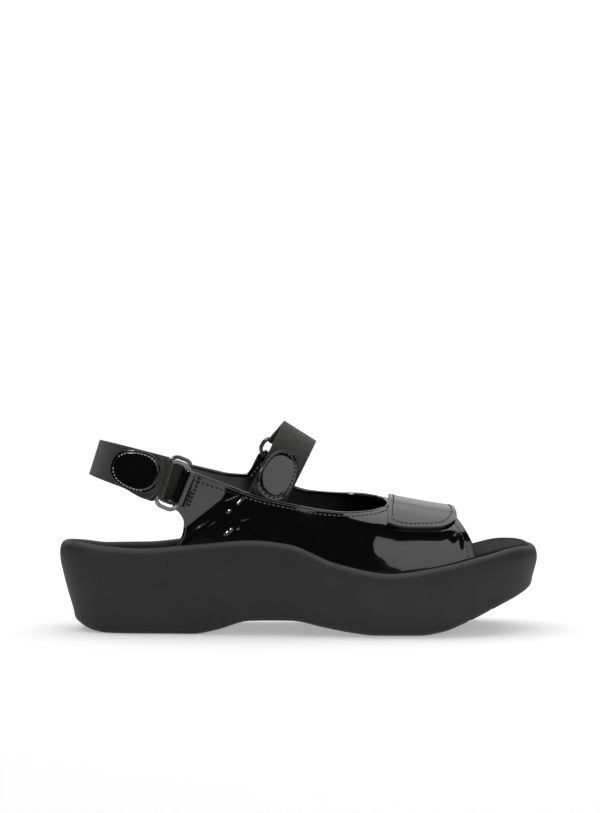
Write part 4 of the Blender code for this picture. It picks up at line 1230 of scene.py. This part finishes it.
def strap_layer(name, band, start, end, width, top, node=None, round_start=0.0, shape=None):
    """One layer of webbing from run start to end, with its outer face top above the middle line.

    shape(run) gives extra reach at the lower and upper edge, and extra lift.
    """
    count, across = max(24, int((end - start) / 0.9)), 20
    runs = np.linspace(start, end, count + 1)
    if round_start:
        lead = np.linspace(0, 1, 17) ** 1.8 * round_start + start
        runs = np.concatenate([lead[:-1], np.linspace(start + round_start, end, count + 1)])
        count = len(runs) - 1

    def place(i, j):
        run = runs[i]
        half = width(run) / 2
        low, high, lift = shape(run) if shape else (0.0, 0.0, 0.0)
        reach = mix(-half - low, half + high, j / across)
        if round_start and run - start < round_start:
            short = 1 - (run - start) / round_start
            reach *= max(math.sqrt(max(1 - short**2, 0.0)), 0.02)
        return band.place(run, reach, top + lift)

    middle = band.plane.point(*band.middle)
    mesh = grid_mesh(name, place, count, across, (MM * (end - start), MM * width(end)), inside=middle, merge=False)
    thicken(name, mesh, WEBBING - 0.08, 0.45, "webbing", FINISH["webbing"], node=node, edge_steps=2)


def loop_profile(radius, tail, tail_half, slack):
    """Fold of a strap or ear round a bar, as (q, w): q towards the strap, w outwards, slack past the bar."""
    turns = np.radians(np.linspace(72, 288, 25))
    arc = [(radius * math.cos(turn) - slack, radius * math.sin(turn)) for turn in turns]
    start = arc[0]
    out = [(mix(tail, start[0], t), mix(tail_half, start[1], ease(0, 1, t))) for t in np.linspace(0, 1, 14)[:-1]]
    inner = [(q, -w) for q, w in out[::-1]]
    return out + arc + inner


def build_loop(name, centre, bar, pull, outward, length, fold, slot, finish, wall=1.2):
    """A sleeve folded round a ring's bar, running out on both faces of its strap or ear."""
    profile = loop_profile(*fold)
    count = 16

    def place(i, j):
        q, w = profile[j]
        return centre + pull * q + outward * w + bar * (length * (i / count - 0.5))

    uv_size = (MM * length, MM * 2.6 * fold[1])
    mesh = grid_mesh(name, place, count, len(profile) - 1, uv_size, inside=centre, merge=False)
    thicken(name, mesh, wall, 0.4, slot, finish, edge_steps=2)


def ring_points(centre, bar, cross, length, spacing):
    points = []
    half_bar, half_cross = length / 2 - RING_CORNER, spacing / 2 - RING_CORNER
    for quarter, (across, along) in enumerate(((1, 1), (-1, 1), (-1, -1), (1, -1))):
        for i in range(11):
            turn = math.pi / 2 * (quarter + i / 10)
            c = across * half_cross + RING_CORNER * math.cos(turn)
            b = along * half_bar + RING_CORNER * math.sin(turn)
            points.append(centre + cross * c + bar * b)
    return points


def build_ring(name, points, finish):
    mesh = wire_mesh(name, points, WIRE_RADIUS, closed=True, rounding=5)
    add_piece(name, mesh, "ring_metal", finish, node=name, smooth=60)


def build_heel_straps():
    band = HEEL_BAND

    def width(run):
        return heel_width(float(band.at(run)[0]))

    def inner_shape(run):
        return HEEL_END["deeper"] * ease(*HEEL_END["from"], run) * (1 - ease(*HEEL_END["to"], run)), 0.0, 0.0

    def tab_shape(run):
        return inner_shape(run)[0], 0.0, HEEL_END["lift"] * (1 - ease(*HEEL_END["lift_to"], run))

    end = band.length - STRAP_TRIM
    strap_layer("heel_webbing_inner", band, STRAP_TRIM, end, width, INNER_TOP, node="heel_strap", shape=inner_shape)
    strap_layer("heel_webbing_tab", band, TAB_FROM, end, width, WEBBING, round_start=HEEL_END["round"], shape=tab_shape)
    bar = Vector((math.sin(RING_LEAN), 0.0, math.cos(RING_LEAN)))
    cross = Vector((math.cos(RING_LEAN), 0.0, -math.sin(RING_LEAN)))
    for side, y in HEEL_BAR_Y.items():
        near = side == "lateral"
        out = Vector((0.0, -1.0 if near else 1.0, 0.0))
        strap_bar = HEEL_PLANE.point(0, y)
        ear_bar = strap_bar + cross * BAR_SPACING
        centre = strap_bar + cross * (BAR_SPACING / 2) + bar * RING_RAISE[side]
        points = ring_points(centre, bar, cross, RING_LENGTH["heel"], BAR_SPACING)
        # The medial ring takes the darker metal, which is painted shade.
        build_ring(f"heel_ring_{side}", points, FINISH["ring" if near else "ring_painted_shade"])
        loop = HEEL_LOOP[side]
        middle = strap_bar + HEEL_PLANE.width * loop["raise"]
        build_loop(
            f"heel_loop_{side}", middle, HEEL_PLANE.width, -HEEL_PLANE.along, out, HEEL_WIDTH[0] - loop["narrower"],
            (*HEEL_FOLD, loop["slack"]), "webbing", FINISH["webbing"],
        )
        build_loop(
            f"ear_loop_{side}", ear_bar, bar, cross, out, EAR_WIDTH, (*EAR_FOLD, EAR_SLACK[side]),
            "patent_leather", FINISH["patent"],
        )
    build_ear_stitches(HEEL_PLANE.point(0, HEEL_BAR_Y["lateral"]) + cross * BAR_SPACING, bar, cross)


def build_ear_stitches(ear_bar, bar, cross):
    """A row of chunky stitches that closes the lateral ear's fold behind its ring."""
    places = []
    for run in np.linspace(*EAR_STITCHES["span"], 30):
        at = ear_bar + cross * (EAR_FOLD[1] + EAR_STITCHES["behind"]) + bar * run
        places.append((at.x, turn_at(at.x, at.z, "lateral")))
    add_stitches("ear_stitches", [leather_row(places, *STITCH_ROWS["ear"])], "dark_thread")


def build_instep_strap():
    band, width = INSTEP_BAND, INSTEP["width"]
    tab_end, crown = run_at_drop(INSTEP_END["drop"]), run_at_drop(0.0)

    def even(run):
        return width

    def arched(run):
        lift = INSTEP_CROWN["height"] * (1 - ease(*INSTEP_CROWN["fall"], abs(run - crown)))
        return 0.0, INSTEP_CROWN["wider"], lift

    def tab_shape(run):
        low, high, lift = arched(run)
        return low, high, lift + INSTEP_END["lift"] * (1 - ease(tab_end, tab_end + INSTEP_END["lift_run"], run))

    end = band.length - STRAP_TRIM
    strap_layer("instep_webbing_base", band, 0.0, end, even, INNER_TOP, node="instep_strap", shape=arched)
    strap_layer(
        "instep_webbing_tab", band, tab_end, end, even, WEBBING, round_start=INSTEP_END["round"], shape=tab_shape
    )
    upper_bar = INSTEP_PLANE.point(*instep_path(INSTEP_BARS[0], "medial"))
    lower_bar = INSTEP_PLANE.point(-INSTEP_BARS[1], 0.0, INSTEP_BARS[0] * INSTEP_LEAN["medial"])
    turn = turn_at(lower_bar.x, lower_bar.z, "medial")
    lower_bar.y = last_point(lower_bar.x, turn, -LEATHER / 2).y
    cross = (lower_bar - upper_bar).normalized()
    spacing = (lower_bar - upper_bar).length
    points = ring_points((upper_bar + lower_bar) / 2, INSTEP_PLANE.width, cross, RING_LENGTH["instep"], spacing)
    # The instep ring takes the darker metal, which is painted shade.
    build_ring("instep_ring", points, FINISH["ring_painted_shade"])
    out = cross.cross(INSTEP_PLANE.width).normalized()
    out = out if out.y > 0 else -out
    strap_way = (band.plane.point(*band.at(band.length - 3.0)) - upper_bar).normalized()
    strap_out = band.direction(band.length - 1.0)
    build_loop(
        "instep_loop", upper_bar, INSTEP_PLANE.width, strap_way, strap_out, width - 1.0,
        (*INSTEP_FOLD, 0.0), "webbing", FINISH["webbing"],
    )
    below = (lower_bar.x - 4.0, lower_bar.z - 8.0)
    ear_way = (last_surface(below[0], turn_at(*below, "medial")) - lower_bar).normalized()
    ear_way = (ear_way - INSTEP_PLANE.width * ear_way.dot(INSTEP_PLANE.width)).normalized()
    ear_out = last_normal(lower_bar.x, turn)
    build_loop(
        "ear_loop_instep", lower_bar, INSTEP_PLANE.width, ear_way, ear_out, INSTEP_EAR_WIDTH, (*INSTEP_EAR_FOLD, 0.0),
        "patent_leather", FINISH["patent"],
    )


def build_patch(kind, band, centre_run, forward):
    """A stitched oval of patent leather on a strap's free end."""
    size = PATCHES[kind]
    base = WEBBING + GAP

    def oval(turn):
        circle = (math.cos(turn), math.sin(turn))
        along, across = (math.copysign(abs(part) ** PATCH_CORNER, part) for part in circle)
        return size["half"][0] * along, size["half"][1] * across * (1 + size["egg"] * along)

    ahead = math.copysign(size["lean"], (band.place(centre_run, 1.0, 0.0) - band.place(centre_run, -1.0, 0.0)).x)

    def height(lift, across):
        return base + lift * (PATCH_THICKNESS - ahead * across)

    def place(i, j):
        share, lift = PATCH_PROFILE[j]
        along, across = oval(2 * math.pi * i / PATCH_POINTS)
        return band.place(centre_run + forward * along * share, across * share, height(lift, across * share))

    mesh = grid_mesh(f"{kind}_patch", place, PATCH_POINTS, len(PATCH_PROFILE) - 1)
    add_piece(f"{kind}_patch", mesh, "patent_leather", FINISH["patent"], node=f"{kind}_tab_patch", smooth=60)

    def stitch_row(low, high):
        points, normals = [], []
        for turn in np.radians(np.linspace(low, high, 73)):
            along, across = (part * PATCH_SEAM for part in oval(turn))
            run = centre_run + forward * along
            points.append(band.place(run, across, height(0.98, across)))
            normals.append(band.direction(run))
        return (points, normals, *size["stitch"])

    # Stitches on the light arcs take the pale thread, a painted glint; the others keep the thread's black.
    ends = [0, *(angle for arc in size["light"] for angle in arc), 360]
    dark_rows = [stitch_row(low, high) for low, high in zip(ends[::2], ends[1::2])]
    for name, finish, rows in (
        (f"{kind}_patch_stitches", "dark_thread", dark_rows),
        (f"{kind}_patch_painted_glint_stitches", "thread_painted_glint", [stitch_row(*arc) for arc in size["light"]]),
    ):
        if rows:
            add_stitches(name, rows, finish)


def build_patches():
    build_patch("heel", HEEL_BAND, PATCHES["heel"]["centre"], 1.0)
    build_patch("instep", INSTEP_BAND, run_at_drop(PATCHES["instep"]["centre"]), -1.0)


# Stage


def area_light(name, location, target, size, radiance):
    """A rectangular soft light of a given brightness, facing a target."""
    lamp = bpy.data.lights.new(name, "AREA")
    lamp.shape = "RECTANGLE"
    lamp.size, lamp.size_y = size
    lamp.energy = radiance * math.pi * size[0] * size[1]
    light = link_object(name, lamp)
    light.location = location
    light.rotation_euler = (Vector(target) - Vector(location)).to_track_quat("-Z", "Y").to_euler()
    return light


def stage_card(name, place, across, up, material):
    """A sheet of the stage whose corners go to place(i, j), in metres."""
    mesh = grid_mesh(name, lambda i, j: Vector(place(i, j)) / MM, across, up, merge=False)
    mesh.materials.append(material)
    card = link_object(name, mesh)
    return card


# Rows of the bent card before the shoe: elevation and azimuth of its left edge, in degrees
FRONT_CARD = (
    (-2.5, 7.5), (-1.0, 6.0), (2.0, 4.3), (6.0, 3.7), (10.0, 2.6), (13.0, 1.4), (17.0, -0.8), (24.0, -0.8),
    (28.0, 0.5), (31.0, 2.5), (34.0, 5.5), (36.5, 8.0), (38.5, 9.3), (40.0, 10.2), (41.5, 14.0), (43.0, 20.0),
    (44.0, 26.0),
)
FRONT_CARD_RIGHT, FRONT_CARD_COLUMNS = 62.0, 12
# Front edge of the sheet of light overhead, as (x, y) in metres
SKY_FRONT = (
    (-1.8, -0.58), (0.14, -0.58), (0.25, -0.66), (0.4, -0.62), (0.5, -0.48), (0.57, -0.33), (0.66, -0.2),
    (0.78, -0.1), (0.82, 0.1), (1.8, 0.1),
)
# The sheet's way back and down behind the shoe: y, z and brightness
SKY_ROWS = (
    (None, 2.0, 1.35), (0.35, 2.0, 1.3), (0.7, 2.0, 1.1), (1.1, 2.0, 0.95), (1.55, 2.0, 0.86), (1.95, 1.97, 0.76),
    (2.2, 1.85, 0.55), (2.45, 1.65, 0.3), (2.6, 1.45, 0.21), (2.75, 0.9, 0.16), (2.8, 0.0, 0.14),
)
FLOOR = {"x": (-1.1, 1.1), "y": (-0.57, 1.2), "glow": 0.365}
CARD_GLOW = 0.95
BACKDROP_GLOW, AMBIENT_GLOW = 1.05, 0.02
# Lamps, in metres: place, target, size and brightness
FILL_LAMP = ((0.0, 0.6, 1.9), (0.0, 0.6, 0.0), (3.6, 2.4), 0.34)
GLINT_LAMP = ((-1.01, -0.85, 0.95), (-0.04, -0.03, 0.06), (0.28, 0.28), 40.0)
# The photo's view, in metres, with its pitch in degrees and its lens in millimetres
CAMERA = {"pitch": 2.2, "distance": 1.5, "target": (0.00054, 0.0, 0.11992), "sensor": 36.0, "lens": 123.07}


def seen_at(azimuth, elevation, reach=2.0):
    """A point of the stage by its direction from the shoe, azimuth 0 being straight in front."""
    azimuth, elevation = math.radians(azimuth), math.radians(elevation)
    level = reach * math.cos(elevation)
    return (level * math.sin(azimuth), -level * math.cos(azimuth), reach * math.sin(elevation) + 0.05)


def glowing_white(name, grey, strength):
    """Matt white of the stage that also gives light."""
    return finish_material(
        name, (grey,) * 3, 0.9, Specular_IOR_Level=0.0, Emission_Color=(1, 1, 1, 1), Emission_Strength=strength
    )


def build_floor():
    floor_white, tree, shader = glowing_white("floor_white", 0.9, FLOOR["glow"])
    cloud = noise(tree, tree.nodes.new("ShaderNodeTexCoord").outputs["Object"], 3.0)
    tone_ramp(tree, shader, cloud, (0.9,) * 3, (0.91,) * 3)
    stage_card("floor", lambda i, j: (FLOOR["x"][i], FLOOR["y"][j], 0.0), 1, 1, floor_white)


def build_front_card():
    def place(i, j):
        elevation, left = FRONT_CARD[j]
        return seen_at(mix(left, FRONT_CARD_RIGHT, i / FRONT_CARD_COLUMNS), elevation)

    card_white, _, _ = glowing_white("card_white", 0.8, CARD_GLOW)
    stage_card("front_card", place, FRONT_CARD_COLUMNS, len(FRONT_CARD) - 1, card_white)


def build_sky():
    def place(i, j):
        (x, front), (y, z, _) = SKY_FRONT[i], SKY_ROWS[j]
        return (x, front if y is None else y, z)

    sky_white, tree, shader = glowing_white("sky_white", 0.8, 1.0)
    tree.links.new(surface_value(tree, "glow").outputs["Color"], shader.inputs["Emission Color"])
    sky = stage_card("sky_sheet", place, len(SKY_FRONT) - 1, len(SKY_ROWS) - 1, sky_white)
    sky.visible_camera = False
    level = sky.data.attributes.new("glow", "FLOAT_COLOR", "POINT")
    for vert in sky.data.vertices:
        at = [row for row in SKY_ROWS[1:] if math.dist(row[:2], vert.co.yz) < 0.01] or SKY_ROWS[:1]
        level.data[vert.index].color = (at[0][2],) * 3 + (1.0,)


def build_world():
    """White behind the shoe, and next to no light from it."""
    world = bpy.data.worlds.new("studio")
    bpy.context.scene.world = world
    world.use_nodes = True
    tree = world.node_tree
    tree.nodes.clear()
    choose = tree.nodes.new("ShaderNodeMixShader")
    for socket, strength in ((1, AMBIENT_GLOW), (2, BACKDROP_GLOW)):
        backdrop = tree.nodes.new("ShaderNodeBackground")
        backdrop.inputs["Color"].default_value = (1, 1, 1, 1)
        backdrop.inputs["Strength"].default_value = strength
        tree.links.new(backdrop.outputs[0], choose.inputs[socket])
    path = tree.nodes.new("ShaderNodeLightPath")
    tree.links.new(path.outputs["Is Camera Ray"], choose.inputs["Fac"])
    tree.links.new(choose.outputs[0], tree.nodes.new("ShaderNodeOutputWorld").inputs["Surface"])


def build_stage():
    build_floor()
    build_front_card()
    build_sky()
    build_world()
    fill = area_light("fill", *FILL_LAMP)
    fill.visible_glossy = False
    glint = area_light("glint_lamp", *GLINT_LAMP)
    glint.visible_diffuse = False
    bpy.context.scene.view_settings.view_transform = "Standard"


def build_camera():
    """A camera on the lateral side, a little above the shoe."""
    pitch = math.radians(CAMERA["pitch"])
    data = bpy.data.cameras.new("camera")
    data.sensor_width, data.lens = CAMERA["sensor"], CAMERA["lens"]
    camera = link_object("camera", data)
    away = Vector((0.0, -math.cos(pitch), math.sin(pitch)))
    camera.location = Vector(CAMERA["target"]) + away * CAMERA["distance"]
    camera.rotation_euler = (math.pi / 2 - pitch, 0.0, 0.0)
    bpy.context.scene.camera = camera


build_camera()
build_stage()
build_sole()
build_footbed()
build_upper()
build_upper_stitches()
build_flap()
build_heel_straps()
build_instep_strap()
build_patches()
